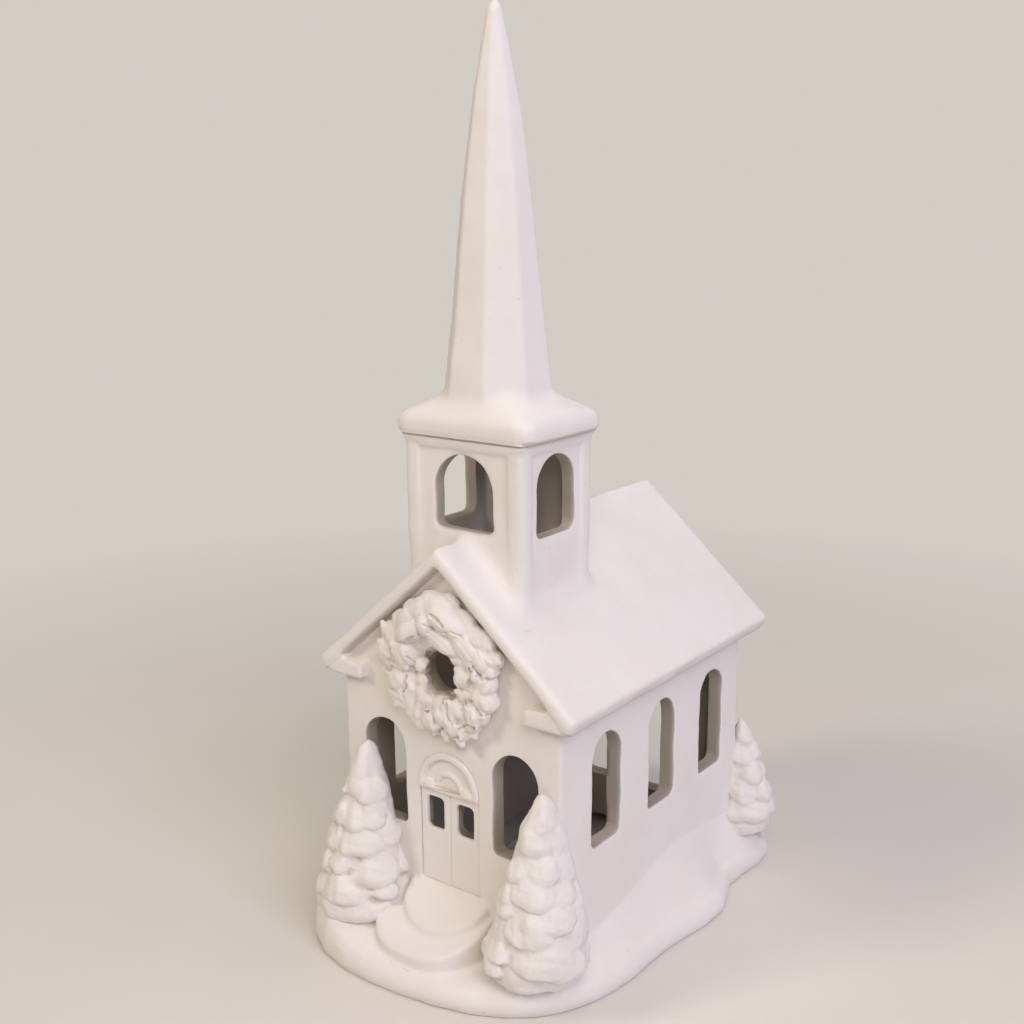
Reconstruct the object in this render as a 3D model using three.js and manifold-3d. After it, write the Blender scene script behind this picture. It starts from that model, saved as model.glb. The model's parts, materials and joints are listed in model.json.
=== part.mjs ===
// A village church lantern: a white bisque church on a mound of snow, lifted over a tea light.
// Millimetres. X runs to the right of someone who faces the front door, Y runs back along the
// nave from the facade, and Z is up from the table. The mound's middle is the origin.
import * as THREE from "three";
import { mergeVertices } from "three/addons/utils/BufferGeometryUtils.js";
import Module from "manifold-3d";

const wasm = await Module();
wasm.setup();

// Clearance between a piece and the neighbour that it is cut to fit or stands on.
const seatGap = 0.3;
// How far a cutting tool runs past the face that it opens.
const overrun = 5;

// Nave: a rectangular room of four cast walls with a gable at each end.
const naveHalfWidth = 48;
const naveLength = 125.7;
const naveWall = 6.2;
const naveFootZ = 10;

// Roof: one folded slab that oversails the walls.
const ridgeZ = 156;
const roofPitch = 41.3;
const roofThickness = 5.6;
const eaveOverhang = 8.4;
const eaveUndercut = 2.2;
const frontOverhang = 5.6;
const rearOverhang = 8.2;
const roofEdgeRound = 2;

// Arched windows. Each has a level sill, upright jambs and a half-round head.
const windowCornerRound = 2;
const sideWindowHalfWidth = 8.8;
const sideWindowSillZ = 50.5;
const sideWindowTopZ = 90.7;
const sideWindowFirst = 28.2;
const sideWindowPitch = 37.3;
const sideWindowCount = 3;
const frontWindowOffset = 29.2;
const frontWindowHalfWidth = 9.4;
const frontWindowSillZ = 48.7;
const frontWindowTopZ = 86.8;
const rearArchHalfWidth = 22;
const rearArchSillZ = 25;
const rearArchTopZ = 76;

// Front door: two leaves in a shallow arched niche, under a half-round fanlight.
const doorHalfWidth = 13.4;
const doorSillZ = 29;
const doorHeight = 36.6;
const nicheDepth = 2.4;
const leafThickness = 1.5;
const leafWindowHalfWidth = 4;
const leafWindowSill = 20.6;
const leafWindowHeight = 12.6;
const leafWindowRound = 2;
const fanlightStilt = 1.3;
const fanlightRimWidth = 1.8;
const fanlightProud = 1;
const fanlightRingRadius = 6.2;
const fanlightRingWidth = 1.3;
const fanlightPadLength = 4.6;

// Gable returns: the short blocks of cornice at the foot of each rake.
const returnInnerX = 36;
const returnOuterX = 52.4;
const returnEndHeight = 0.8;
const returnHeight = 6.4;
const returnProud = 4.8;

// Wreath: a ring of leafy sprigs around a round hole in the gable.
const wreathCentreX = -1.5;
const wreathDrop = 45.7;
const wreathRadius = 27;
const wreathHoleRadius = 7.4;
const wreathRelief = 8.6;
const wreathEdge = 2.2;
const sprigCount = 10;
const sprigLeafLength = 6.2;
const sprigLeafWidth = 2.5;

// Bow draped over the top of the wreath. Its right tail is the longer.
const bowBearing = 96;
const bowReach = 20.5;
const bowTilt = 6;
const bowLoopLength = 6.6;
const bowLoopWidth = 4.6;
const bowRibbon = 1.6;
const bowProud = 9;
const bowLeftTail = 8;
const bowRightTail = 19;

// Bell tower: a square tube that stands astride the ridge.
const towerHalfWidth = 25.4;
const towerHalfDepth = 21.1;
const towerCentreY = 31.1;
const towerWall = 6.5;
const towerRise = 34.2;
const towerCornerRound = 2;
const towerFlare = 2.2;
const towerFlareHeight = 6;
const towerNeck = 1.6;
const belfryFrontHalfWidth = 12.3;
const belfrySideHalfWidth = 10.8;
const belfryFrontSillRise = 2.8;
const belfrySideSillRise = 1;
const belfryHeadRise = 28.6;
const pilasterWidth = 6;
const panelDepth = 0.9;

// Steeple: a cushioned cap that sweeps up into an eight-sided spire.
const capHalfWidth = 29;
const capHalfDepth = 23;
const capFascia = 7.4;
const capShoulder = 2;
const capRound = 4;
const capCornerSpread = 6;
const spireFaces = 8;
const spireHeight = 141.5;
const spireRadius = 17.6;
const spireFoot = 17.5;
const spireTipRadius = 1.7;
const spireWall = 4.2;
const spireHollow = 96;
const hollowTipRadius = 0.8;

// Mound of snow: a hollow skirt whose rolled rim stands on the table.
const moundHalfWidth = 62;
const moundHalfLength = 94;
const moundCentreY = 64.5;
const moundSquareness = 3;
const moundRimHeight = 9;
const moundWall = 6.4;
const moundBank = 17;
const moundRoll = 4.5;
const ledgeThickness = 5;
const sideDriftRise = 11.5;
const sideDriftMiddle = 80;
const sideDriftReach = 42;
const frontHollowDepth = 3;
const frontHollowHalfWidth = 32;
const frontHollowReach = 14;
const rearDriftRise = 3;
const rearDriftReach = 12;
const cornerDriftRise = 6;
const cornerDriftReach = 20;
const cornerDriftBearing = -124;
const cornerRimRise = 8;
const cornerRimSpread = 15;

// Steps: two worn half-oval treads in front of the door, each lower at its nose.
const upperStepHalfWidth = 18;
const upperStepDepth = 14.8;
const upperStepNoseZ = 19.9;
const lowerStepX = -3;
const lowerStepHalfWidth = 23.5;
const lowerStepDepth = 23.5;
const lowerStepTopZ = 24.5;
const lowerStepNoseZ = 13.6;
const lowerStepSquareness = 2.4;
const treadRound = 1.5;
const treadSides = 36;

// Snow-laden evergreens at the four corners.
const frontTreeRadius = 18.6;
const frontTreeFootZ = 15;
const frontTreeTopZ = 79;
const frontTreeLean = 3.5;
const leftTreeInset = 11;
const leftTreeBefore = 4.5;
const leftTreeTurn = 10;
const rightTreeInset = 8.5;
const rightTreeBefore = 3;
const rightTreeTurn = 35;
const rearTreeRadius = 12.8;
const rearTreeFootZ = 18;
const rearTreeTopZ = 62;
const rearTreeOutside = 1.5;
const rearTreeBehind = 5.3;
const boughsAtFoot = 5.2;
const boughsFewerAtTip = 2.6;
const boughOverlap = 1.1;

// Tea light: the flame that the lantern is lifted over.
const lightRadius = 19;
const lightHeight = 16;
const lightRim = 0.4;
const lightCupWall = 0.8;
const lightWaxHeight = 12.5;
const wickRadius = 0.8;
const wickHeight = 7;

const radians = THREE.MathUtils.degToRad;
const roofSlope = Math.tan(radians(roofPitch));
const roofDrop = roofThickness / Math.cos(radians(roofPitch));
const eaveHalfWidth = naveHalfWidth + eaveOverhang;
const wallTopGap = seatGap / Math.cos(radians(roofPitch));
const wreathCentreZ = ridgeZ - wreathDrop;
const towerTopZ = ridgeZ + towerRise;
const steepleFootZ = towerTopZ + seatGap;
const springZ = doorSillZ + doorHeight;
const archZ = springZ + fanlightStilt;

// Height of the roof's upper face, and of its underside, at a distance from the ridge.
const roofTop = (x) => ridgeZ - roofSlope * Math.abs(x);
const roofUnder = (x) => roofTop(x) - roofDrop;

// A closed mesh as a solid that can be joined and cut, with its faces pointing out.
function solid(geometry) {
  const bare = geometry.clone();
  bare.deleteAttribute("normal");
  bare.deleteAttribute("uv");
  const merged = mergeVertices(bare, 1e-4);
  const vertProperties = new Float32Array(merged.attributes.position.array);
  const triVerts = new Uint32Array(merged.index.array);
  const made = new wasm.Manifold(new wasm.Mesh({ numProp: 3, vertProperties, triVerts }));
  if (made.volume() > 0) return made;
  return new wasm.Manifold(
    new wasm.Mesh({ numProp: 3, vertProperties, triVerts: triVerts.slice().reverse() }),
  );
}

// The largest body of a cut solid: a cut may leave crumbs behind a wall.
function mainBody(made) {
  return made.decompose().reduce((best, body) => (body.volume() > best.volume() ? body : best));
}

// A finished solid as a named mesh with its own material.
function piece(name, made, material) {
  const mesh = made.getMesh();
  const count = mesh.numProp;
  const positions = new Float32Array(mesh.numVert * 3);
  for (let i = 0; i < mesh.numVert; i++) {
    positions.set(mesh.vertProperties.subarray(i * count, i * count + 3), i * 3);
  }
  const geometry = new THREE.BufferGeometry();
  geometry.setAttribute("position", new THREE.BufferAttribute(positions, 3));
  geometry.setIndex(new THREE.BufferAttribute(mesh.triVerts, 1));
  geometry.computeVertexNormals();
  const result = new THREE.Mesh(geometry, material);
  result.name = name;
  return result;
}

const bisque = () => new THREE.MeshStandardMaterial({ color: 0xeee8e1, roughness: 0.95 });
const foil = () => new THREE.MeshStandardMaterial({ color: 0xb9bcbf, roughness: 0.35, metalness: 1 });
const wax = () => new THREE.MeshStandardMaterial({ color: 0xf4eee0, roughness: 0.55 });
const cotton = () => new THREE.MeshStandardMaterial({ color: 0xe6dfd0, roughness: 0.9 });

// A block between two corners.
function block(x0, x1, y0, y1, z0, z1) {
  const box = new THREE.BoxGeometry(x1 - x0, y1 - y0, z1 - z0);
  return solid(box.translate((x0 + x1) / 2, (y0 + y1) / 2, (z0 + z1) / 2));
}

// Everything below, or above, a level: a block far wider than the lantern.
const far = 400;
const below = (z) => block(-far, far, -far, far, -far, z);
const above = (z) => block(-far, far, -far, far, z, far);

// A shape drawn in X and Z, carried back along Y from the first value to the second.
function carriedBack(shape, y0, y1, options = {}) {
  const settings = { depth: y1 - y0, bevelEnabled: false, curveSegments: 8, ...options };
  const geometry = new THREE.ExtrudeGeometry(shape, settings);
  return geometry.rotateX(Math.PI / 2).translate(0, y1, 0);
}

// The outline of an arched opening, drawn about its own middle line.
function arch(halfWidth, sillZ, topZ) {
  const shape = new THREE.Shape();
  const round = Math.min(windowCornerRound, halfWidth / 3);
  shape.moveTo(halfWidth - round, sillZ);
  shape.absarc(halfWidth - round, sillZ + round, round, -Math.PI / 2, 0);
  shape.lineTo(halfWidth, topZ - halfWidth);
  shape.absarc(0, topZ - halfWidth, halfWidth, 0, Math.PI);
  shape.lineTo(-halfWidth, sillZ + round);
  shape.absarc(round - halfWidth, sillZ + round, round, Math.PI, 1.5 * Math.PI);
  return shape;
}

// A rectangle with round corners.
function roundedRectangle(x0, x1, z0, z1, round) {
  const shape = new THREE.Shape();
  shape.moveTo(x1 - round, z0);
  shape.absarc(x1 - round, z0 + round, round, -Math.PI / 2, 0);
  shape.absarc(x1 - round, z1 - round, round, 0, Math.PI / 2);
  shape.absarc(x0 + round, z1 - round, round, Math.PI / 2, Math.PI);
  shape.absarc(x0 + round, z0 + round, round, Math.PI, 1.5 * Math.PI);
  return shape;
}

// A skin of quadrilaterals through rings of points. A closed loft joins its last ring to its
// first, as round a skirt, and an open one ends in a fan over its first and last rings.
function ringLoft(rings, closed) {
  const around = rings[0].length;
  const positions = rings.flat().flatMap((point) => [point.x, point.y, point.z]);
  const index = [];
  const bands = closed ? rings.length : rings.length - 1;
  for (let i = 0; i < bands; i++) {
    for (let j = 0; j < around; j++) {
      const next = ((i + 1) % rings.length) * around;
      const here = i * around;
      const side = (j + 1) % around;
      index.push(here + j, here + side, next + side, here + j, next + side, next + j);
    }
  }
  if (!closed) {
    for (const ring of [0, rings.length - 1]) {
      const middle = new THREE.Vector3();
      for (const point of rings[ring]) middle.add(point);
      middle.divideScalar(around);
      const hub = positions.length / 3;
      positions.push(middle.x, middle.y, middle.z);
      for (let j = 0; j < around; j++) {
        const a = ring * around + j;
        const b = ring * around + ((j + 1) % around);
        index.push(...(ring === 0 ? [hub, b, a] : [hub, a, b]));
      }
    }
  }
  const geometry = new THREE.BufferGeometry();
  geometry.setAttribute("position", new THREE.Float32BufferAttribute(positions, 3));
  geometry.setIndex(index);
  return geometry;
}

// Points round a rectangle: its corners, and even steps along its sides.
function rectangleRing(x0, x1, y0, y1, across, along) {
  const corners = [[x0, y0], [x1, y0], [x1, y1], [x0, y1]];
  const ring = [];
  corners.forEach(([ax, ay], side) => {
    const [bx, by] = corners[(side + 1) % 4];
    const steps = side % 2 === 0 ? across : along;
    for (let i = 0; i < steps; i++) {
      const t = i / steps;
      ring.push(new THREE.Vector2(ax + (bx - ax) * t, ay + (by - ay) * t));
    }
  });
  return ring;
}

// Nave walls

// The outline of a gable wall, up to the underside of the roof.
function gableOutline() {
  const shape = new THREE.Shape();
  const shoulder = roofUnder(naveHalfWidth) - wallTopGap;
  shape.moveTo(-naveHalfWidth, naveFootZ);
  shape.lineTo(naveHalfWidth, naveFootZ);
  shape.lineTo(naveHalfWidth, shoulder);
  shape.lineTo(0, roofUnder(0) - wallTopGap);
  shape.lineTo(-naveHalfWidth, shoulder);
  return shape;
}

// The two panes' openings, through the leaves and the wall behind them.
function leafWindowTool() {
  const middle = doorHalfWidth / 2;
  const sill = doorSillZ + leafWindowSill;
  const tools = [-middle, middle].map((x) => {
    const left = x - leafWindowHalfWidth;
    const right = x + leafWindowHalfWidth;
    const pane = roundedRectangle(left, right, sill, sill + leafWindowHeight, leafWindowRound);
    return solid(carriedBack(pane, -overrun, naveWall + overrun, { curveSegments: 4 }));
  });
  return tools[0].add(tools[1]);
}

// The arched niche that the leaves and the fanlight sit in, drawn in by a clearance.
function nicheTool(clearance, y0, y1) {
  const half = doorHalfWidth - clearance;
  const shape = new THREE.Shape();
  shape.moveTo(-half, doorSillZ + clearance);
  shape.lineTo(half, doorSillZ + clearance);
  shape.lineTo(half, archZ);
  shape.absarc(0, archZ, half, 0, Math.PI);
  return solid(carriedBack(shape, y0, y1, { curveSegments: 12 }));
}

function frontWall() {
  const outline = gableOutline();
  for (const x of [-frontWindowOffset, frontWindowOffset]) {
    const points = arch(frontWindowHalfWidth, frontWindowSillZ, frontWindowTopZ).getPoints(8);
    outline.holes.push(new THREE.Path(points.map((point) => point.setX(point.x + x))));
  }
  const hole = new THREE.Path();
  hole.absarc(wreathCentreX, wreathCentreZ, wreathHoleRadius, 0, 2 * Math.PI);
  outline.holes.push(hole);
  return solid(carriedBack(outline, 0, naveWall))
    .subtract(nicheTool(0, -overrun, nicheDepth))
    .subtract(leafWindowTool());
}

// The rear wall's wide low arch lets a hand in to light the candle.
function rearWall() {
  const outline = gableOutline();
  const points = arch(rearArchHalfWidth, rearArchSillZ, rearArchTopZ).getPoints(8);
  outline.holes.push(new THREE.Path(points));
  return solid(carriedBack(outline, naveLength - naveWall, naveLength));
}

const sideWindowCentres = () =>
  Array.from({ length: sideWindowCount }, (_, i) => sideWindowFirst + i * sideWindowPitch);

// A side wall stands between the gables and follows the roof along its top.
function sideWall(side) {
  const outer = side * naveHalfWidth;
  const inner = side * (naveHalfWidth - naveWall);
  const section = new THREE.Shape();
  section.moveTo(inner, naveFootZ);
  section.lineTo(outer, naveFootZ);
  section.lineTo(outer, roofUnder(outer) - wallTopGap);
  section.lineTo(inner, roofUnder(inner) - wallTopGap);
  let wall = solid(carriedBack(section, naveWall, naveLength - naveWall));
  for (const y of sideWindowCentres()) {
    const opening = carriedBack(
      arch(sideWindowHalfWidth, sideWindowSillZ, sideWindowTopZ),
      -naveWall - overrun,
      naveWall + overrun,
    );
    wall = wall.subtract(solid(opening.rotateZ(Math.PI / 2).translate(outer, y, 0)));
  }
  return wall;
}

// Roof

// The folded slab's section, with eaves that draw in a little towards the wall.
function roofSection() {
  const shape = new THREE.Shape();
  const eaveBottomX = eaveHalfWidth - eaveUndercut;
  const eaveBottomZ = roofUnder(eaveBottomX);
  shape.moveTo(0, ridgeZ);
  shape.lineTo(-eaveHalfWidth, roofTop(eaveHalfWidth));
  shape.lineTo(-eaveBottomX, eaveBottomZ);
  shape.lineTo(0, roofUnder(0));
  shape.lineTo(eaveBottomX, eaveBottomZ);
  shape.lineTo(eaveHalfWidth, roofTop(eaveHalfWidth));
  return shape;
}

// The hollow of the tower goes on down through the roof, so that warm air rises out.
function flue() {
  const halfWidth = towerHalfWidth - towerWall;
  const halfDepth = towerHalfDepth - towerWall;
  const y0 = towerCentreY - halfDepth;
  return block(-halfWidth, halfWidth, y0, y0 + 2 * halfDepth, naveFootZ, ridgeZ + overrun);
}

function roof() {
  const bevel = {
    bevelEnabled: true,
    bevelThickness: roofEdgeRound,
    bevelSize: roofEdgeRound,
    bevelOffset: -roofEdgeRound,
    bevelSegments: 3,
  };
  const front = roofEdgeRound - frontOverhang;
  const rear = naveLength + rearOverhang - roofEdgeRound;
  return solid(carriedBack(roofSection(), front, rear, bevel)).subtract(flue());
}

// Bell tower

// Points round the tower's plan, with rounded corners and a point on the ridge line.
function towerRing(halfWidth, halfDepth, round, height) {
  const ring = [];
  const corners = [[1, -1, -90], [1, 1, 0], [-1, 1, 90], [-1, -1, 180]];
  const arcSteps = 2;
  for (const [sx, sy, start] of corners) {
    for (let i = 0; i <= arcSteps; i++) {
      const angle = radians(start + (90 * i) / arcSteps);
      const x = sx * (halfWidth - round) + round * Math.cos(angle);
      const y = sy * (halfDepth - round) + round * Math.sin(angle);
      ring.push([x, towerCentreY + y]);
    }
    if (sx * sy > 0) ring.push([0, towerCentreY + sy * halfDepth]);
  }
  return ring.map(([x, y]) => new THREE.Vector3(x, y, height(x)));
}

// The arched openings of the belfry, in its front and its two sides.
function belfryTool() {
  const head = ridgeZ + belfryHeadRise;
  const reach = towerHalfWidth + overrun;
  const front = arch(belfryFrontHalfWidth, ridgeZ + belfryFrontSillRise, head);
  const side = arch(belfrySideHalfWidth, ridgeZ + belfrySideSillRise, head);
  const forward = carriedBack(front, towerCentreY - reach, towerCentreY);
  const sides = carriedBack(side, -reach, reach).rotateZ(Math.PI / 2);
  return solid(forward).add(solid(sides.translate(0, towerCentreY, 0)));
}

// The faces between the corner pilasters are sunk a little. Each panel ends in the flare.
function panelTool() {
  const width = towerHalfWidth - pilasterWidth;
  const depth = towerHalfDepth - pilasterWidth;
  const head = towerTopZ - 2.2 * towerNeck;
  const foot = (x) => roofTop(x) + 0.5 * towerFlareHeight;
  const y0 = towerCentreY - towerHalfDepth;
  const y1 = towerCentreY + towerHalfDepth;
  const x = towerHalfWidth;
  const gable = new THREE.Shape();
  gable.moveTo(-width, foot(width));
  gable.lineTo(0, foot(0));
  gable.lineTo(width, foot(width));
  gable.lineTo(width, head);
  gable.lineTo(-width, head);
  return [
    solid(carriedBack(gable, y0 - overrun, y0 + panelDepth)),
    solid(carriedBack(gable, y1 - panelDepth, y1 + overrun)),
    block(-x - overrun, panelDepth - x, towerCentreY - depth, towerCentreY + depth, foot(x), head),
    block(x - panelDepth, x + overrun, towerCentreY - depth, towerCentreY + depth, foot(x), head),
  ];
}

function bellTower() {
  const seat = (x) => roofTop(x) + wallTopGap;
  const flared = (share, rise) =>
    towerRing(
      towerHalfWidth + share * towerFlare,
      towerHalfDepth + share * towerFlare,
      towerCornerRound + share * towerFlare,
      (x) => seat(x) + rise * towerFlareHeight,
    );
  const level = (spread, z) =>
    towerRing(towerHalfWidth + spread, towerHalfDepth + spread, towerCornerRound, () => z);
  const inner = (height) =>
    towerRing(towerHalfWidth - towerWall, towerHalfDepth - towerWall, towerCornerRound, height);
  const rings = [
    flared(1, 0),
    flared(0.45, 0.15),
    flared(0.15, 0.45),
    flared(0, 1),
    level(0, towerTopZ - 2 * towerNeck),
    level(0.4 * towerNeck, towerTopZ - 0.8 * towerNeck),
    level(towerNeck, towerTopZ),
    inner(() => towerTopZ),
    inner(seat),
  ];
  let tower = solid(ringLoft(rings, true)).subtract(belfryTool());
  for (const panel of panelTool()) tower = tower.subtract(panel);
  return tower;
}

// Steeple

// Directions round the steeple that hold the cap's round corners and the spire's arrises.
function steepleDirections() {
  const corner = THREE.MathUtils.radToDeg(Math.atan2(capHalfDepth, capHalfWidth));
  const arris = 180 / spireFaces;
  const quarter = [0, arris, corner - capCornerSpread, corner, corner + capCornerSpread, 3 * arris];
  const mirrored = quarter.slice(1).map((angle) => 180 - angle);
  const half = [...quarter, 90, ...mirrored.reverse()];
  return [...half, ...half.map((angle) => angle + 180)].map(radians);
}

// Distance from the middle to a rectangle with round corners, in a direction.
function rectangleReach(halfWidth, halfDepth, round, angle) {
  const across = Math.abs(Math.cos(angle));
  const along = Math.abs(Math.sin(angle));
  const cornerX = halfWidth - round;
  const cornerY = halfDepth - round;
  const toward = across * cornerX + along * cornerY;
  const root = toward ** 2 - (cornerX ** 2 + cornerY ** 2 - round ** 2);
  const reach = toward + Math.sqrt(Math.max(0, root));
  if (root > 0 && reach * across > cornerX && reach * along > cornerY) return reach;
  return across * halfDepth > along * halfWidth ? halfWidth / across : halfDepth / along;
}

function octagonReach(apothem, angle) {
  const face = (2 * Math.PI) / spireFaces;
  const off = angle - face * Math.round(angle / face);
  return apothem / Math.cos(off);
}

// Half the spire's width at a height above its foot: a long taper, a little fuller at mid-height.
function spireApothem(rise) {
  const t = THREE.MathUtils.clamp(rise / (spireHeight - spireFoot), 0, 1);
  const taper = spireRadius + (spireTipRadius - spireRadius) * t;
  return taper + 0.11 * spireRadius * Math.sin(Math.PI * t ** 1.5);
}

// The steeple's skin, level by level: its hollow from the top down, then its outside upwards.
function steeple() {
  const directions = steepleDirections();
  const ring = (z, reach) =>
    directions.map((angle) => {
      const r = reach(angle);
      return new THREE.Vector3(r * Math.cos(angle), towerCentreY + r * Math.sin(angle), z);
    });
  const plate = (inset, z) =>
    ring(z, (angle) => rectangleReach(capHalfWidth - inset, capHalfDepth - inset, capRound + inset, angle));
  const z0 = steepleFootZ;
  const shoulderZ = z0 + 1.08 * capFascia;
  const footZ = z0 + spireFoot;
  const tipZ = z0 + spireHeight;
  const hollowTopZ = z0 + spireHollow;
  const spire = (z, wall) =>
    ring(z, (angle) => octagonReach(spireApothem(z - footZ) - wall, angle));
  // The cap draws in to the spire in a hollow sweep, and its plan turns from square to eight-sided.
  const sweep = (t) => {
    const narrowing = 1 - (1 - t) ** 2.2;
    const toward = (size) => size - capShoulder + (spireRadius - size + capShoulder) * narrowing;
    const round = capRound + capShoulder + (0.5 * spireRadius - capRound) * narrowing;
    const share = t * t * (3 - 2 * t);
    return ring(shoulderZ + (footZ - shoulderZ) * t, (angle) => {
      const square = rectangleReach(toward(capHalfWidth), toward(capHalfDepth), round, angle);
      return square + share * (octagonReach(spireRadius, angle) - square);
    });
  };
  const throatHalfWidth = towerHalfWidth - towerWall;
  const throatHalfDepth = towerHalfDepth - towerWall;
  const throat = (z) =>
    ring(z, (angle) => rectangleReach(throatHalfWidth, throatHalfDepth, towerCornerRound, angle));
  const hollow = [0.6, 0.3, 0].map((t) => spire(footZ + t * (hollowTopZ - footZ), spireWall));
  const outside = [0.14, 0.3, 0.46, 0.62, 0.76, 0.88, 0.97].map((t) =>
    spire(footZ + t * (tipZ - footZ), 0),
  );
  const rings = [
    ring(hollowTopZ, () => hollowTipRadius),
    ...hollow,
    throat(z0 + capFascia),
    throat(z0),
    plate(1, z0),
    plate(0.1, z0 + 1.4),
    plate(0, z0 + 0.55 * capFascia),
    plate(0.3 * capShoulder, z0 + 0.85 * capFascia),
    ...[0, 0.12, 0.26, 0.42, 0.6, 0.8].map(sweep),
    spire(footZ, 0),
    ...outside,
    ring(tipZ, () => 0.4 * spireTipRadius),
  ];
  return solid(ringLoft(rings, false));
}

// Mound of snow

// Where the rim swells out or draws in: bearing in degrees from +X, height and spread.
const rimLobes = [
  { bearing: -127, out: 7.6, spread: 16 },
  { bearing: -70, out: -4, spread: 17 },
  { bearing: -18, out: -1.4, spread: 11 },
  { bearing: 16, out: 3.6, spread: 13 },
  { bearing: 37, out: -4, spread: 9 },
  { bearing: 54, out: 8.6, spread: 11 },
  { bearing: 126, out: 8, spread: 12 },
  { bearing: 150, out: -2.6, spread: 10 },
  { bearing: 180, out: 3, spread: 14 },
];

// How far a swell reaches at some way off its middle.
const swell = (height, off, spread) => height * Math.exp(-((off / spread) ** 2));

// Degrees between a direction and a bearing, the shorter way round.
function turnFrom(angle, bearing) {
  const off = angle - radians(bearing);
  return THREE.MathUtils.radToDeg(Math.atan2(Math.sin(off), Math.cos(off)));
}

// Distance from the mound's middle to its rim: a squarish oval with the lobes added.
function rimReach(angle) {
  const n = moundSquareness;
  const across = Math.abs(Math.cos(angle) / moundHalfWidth) ** n;
  const along = Math.abs(Math.sin(angle) / moundHalfLength) ** n;
  let reach = (across + along) ** (-1 / n);
  for (const { bearing, out, spread } of rimLobes) {
    reach += swell(out, turnFrom(angle, bearing), spread);
  }
  return reach;
}

// Height of the rolled rim: it swells up with the drift at the front left corner.
const rimHeight = (angle) =>
  moundRimHeight + swell(cornerRimRise, turnFrom(angle, cornerDriftBearing), cornerRimSpread);

// Height of the snow against the walls: drifts along the sides, at the rear and at the front
// left corner, and a hollow before the door.
function bankHeight(x, y) {
  const side = swell(sideDriftRise, y - sideDriftMiddle, sideDriftReach);
  const hollow = swell(swell(frontHollowDepth, x, frontHollowHalfWidth), y, frontHollowReach);
  const rear = swell(rearDriftRise, y - naveLength, rearDriftReach);
  const corner = swell(swell(cornerDriftRise, x + naveHalfWidth, cornerDriftReach), y, cornerDriftReach);
  return moundBank + side - hollow + rear + corner;
}

// One upright slice of the skirt, from the rim at the table to the wall and back underneath.
function moundSlice(wall, seat, lift) {
  const angle = Math.atan2(wall.y - moundCentreY, wall.x);
  const reach = rimReach(angle);
  const rimX = reach * Math.cos(angle);
  const rimY = moundCentreY + reach * Math.sin(angle);
  const span = Math.hypot(rimX - wall.x, rimY - wall.y);
  const bank = bankHeight(wall.x, wall.y);
  const rim = rimHeight(angle);
  const at = (inset, z) => {
    const t = inset / span;
    return new THREE.Vector3(rimX + (wall.x - rimX) * t, rimY + (wall.y - rimY) * t, z);
  };
  // The snow rises from the rolled rim to the wall in a shallow hollow curve.
  const surface = (inset) => {
    const t = (inset - moundRoll) / (span - moundRoll);
    return rim + (bank - rim) * (0.55 * t + 0.45 * t * t);
  };
  const mid = (share) => moundRoll + share * (span - moundRoll);
  const outside = [
    at(0.9, 0),
    at(0, 3.2),
    at(0.5, 0.62 * rim),
    at(0.45 * moundRoll, 0.88 * rim),
    at(moundRoll, rim),
    at(mid(0.3), surface(mid(0.3))),
    at(mid(0.65), surface(mid(0.65))),
    at(span, bank),
  ];
  if (lift) return outside.map((point) => point.setZ(point.z + lift));
  const under = (inset) => Math.max(surface(inset) - moundWall, 0.3 * moundRimHeight);
  return [
    ...outside,
    at(span, naveFootZ),
    new THREE.Vector3(seat.x, seat.y, naveFootZ),
    new THREE.Vector3(seat.x, seat.y, naveFootZ - ledgeThickness),
    at(mid(0.95), naveFootZ - ledgeThickness),
    at(mid(0.55), Math.min(under(mid(0.55)), naveFootZ - ledgeThickness + 2)),
    at(moundWall + 1.2, 0.32 * moundRimHeight),
    at(moundWall, 0),
  ];
}

const moundAcross = 10;
const moundAlong = 14;

function snowMound() {
  const gap = seatGap;
  const wall = rectangleRing(
    -naveHalfWidth - gap, naveHalfWidth + gap, -gap, naveLength + gap, moundAcross, moundAlong,
  );
  const seat = rectangleRing(
    naveWall - naveHalfWidth, naveHalfWidth - naveWall, naveWall, naveLength - naveWall,
    moundAcross, moundAlong,
  );
  return solid(ringLoft(wall.map((point, i) => moundSlice(point, seat[i], 0)), true));
}

// Everything at or below the snow, raised by a clearance: it trims what stands on the mound.
function snowTool(lift) {
  const wall = rectangleRing(
    -naveHalfWidth - seatGap, naveHalfWidth + seatGap, -seatGap, naveLength + seatGap,
    moundAcross, moundAlong,
  );
  const slices = wall.map((point) => moundSlice(point, point, lift));
  const layers = slices[0].map((_, k) => slices.map((slice) => slice[k]));
  const below = layers[0].map((point) => point.clone().setZ(-overrun));
  return solid(ringLoft([below, ...layers], false));
}

// The nave as one block with a clearance: it trims what leans on the walls.
function naveTool(clearance) {
  const half = naveHalfWidth + clearance;
  return block(-half, half, -clearance, naveLength + clearance, -overrun, roofUnder(0));
}

// Steps

const upperStepForm = {
  x: 0,
  halfWidth: upperStepHalfWidth,
  depth: upperStepDepth,
  squareness: 2,
  topZ: doorSillZ - seatGap,
  noseZ: upperStepNoseZ,
};
const lowerStepForm = {
  x: lowerStepX,
  halfWidth: lowerStepHalfWidth,
  depth: lowerStepDepth,
  squareness: lowerStepSquareness,
  topZ: lowerStepTopZ,
  noseZ: lowerStepNoseZ,
};

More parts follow.
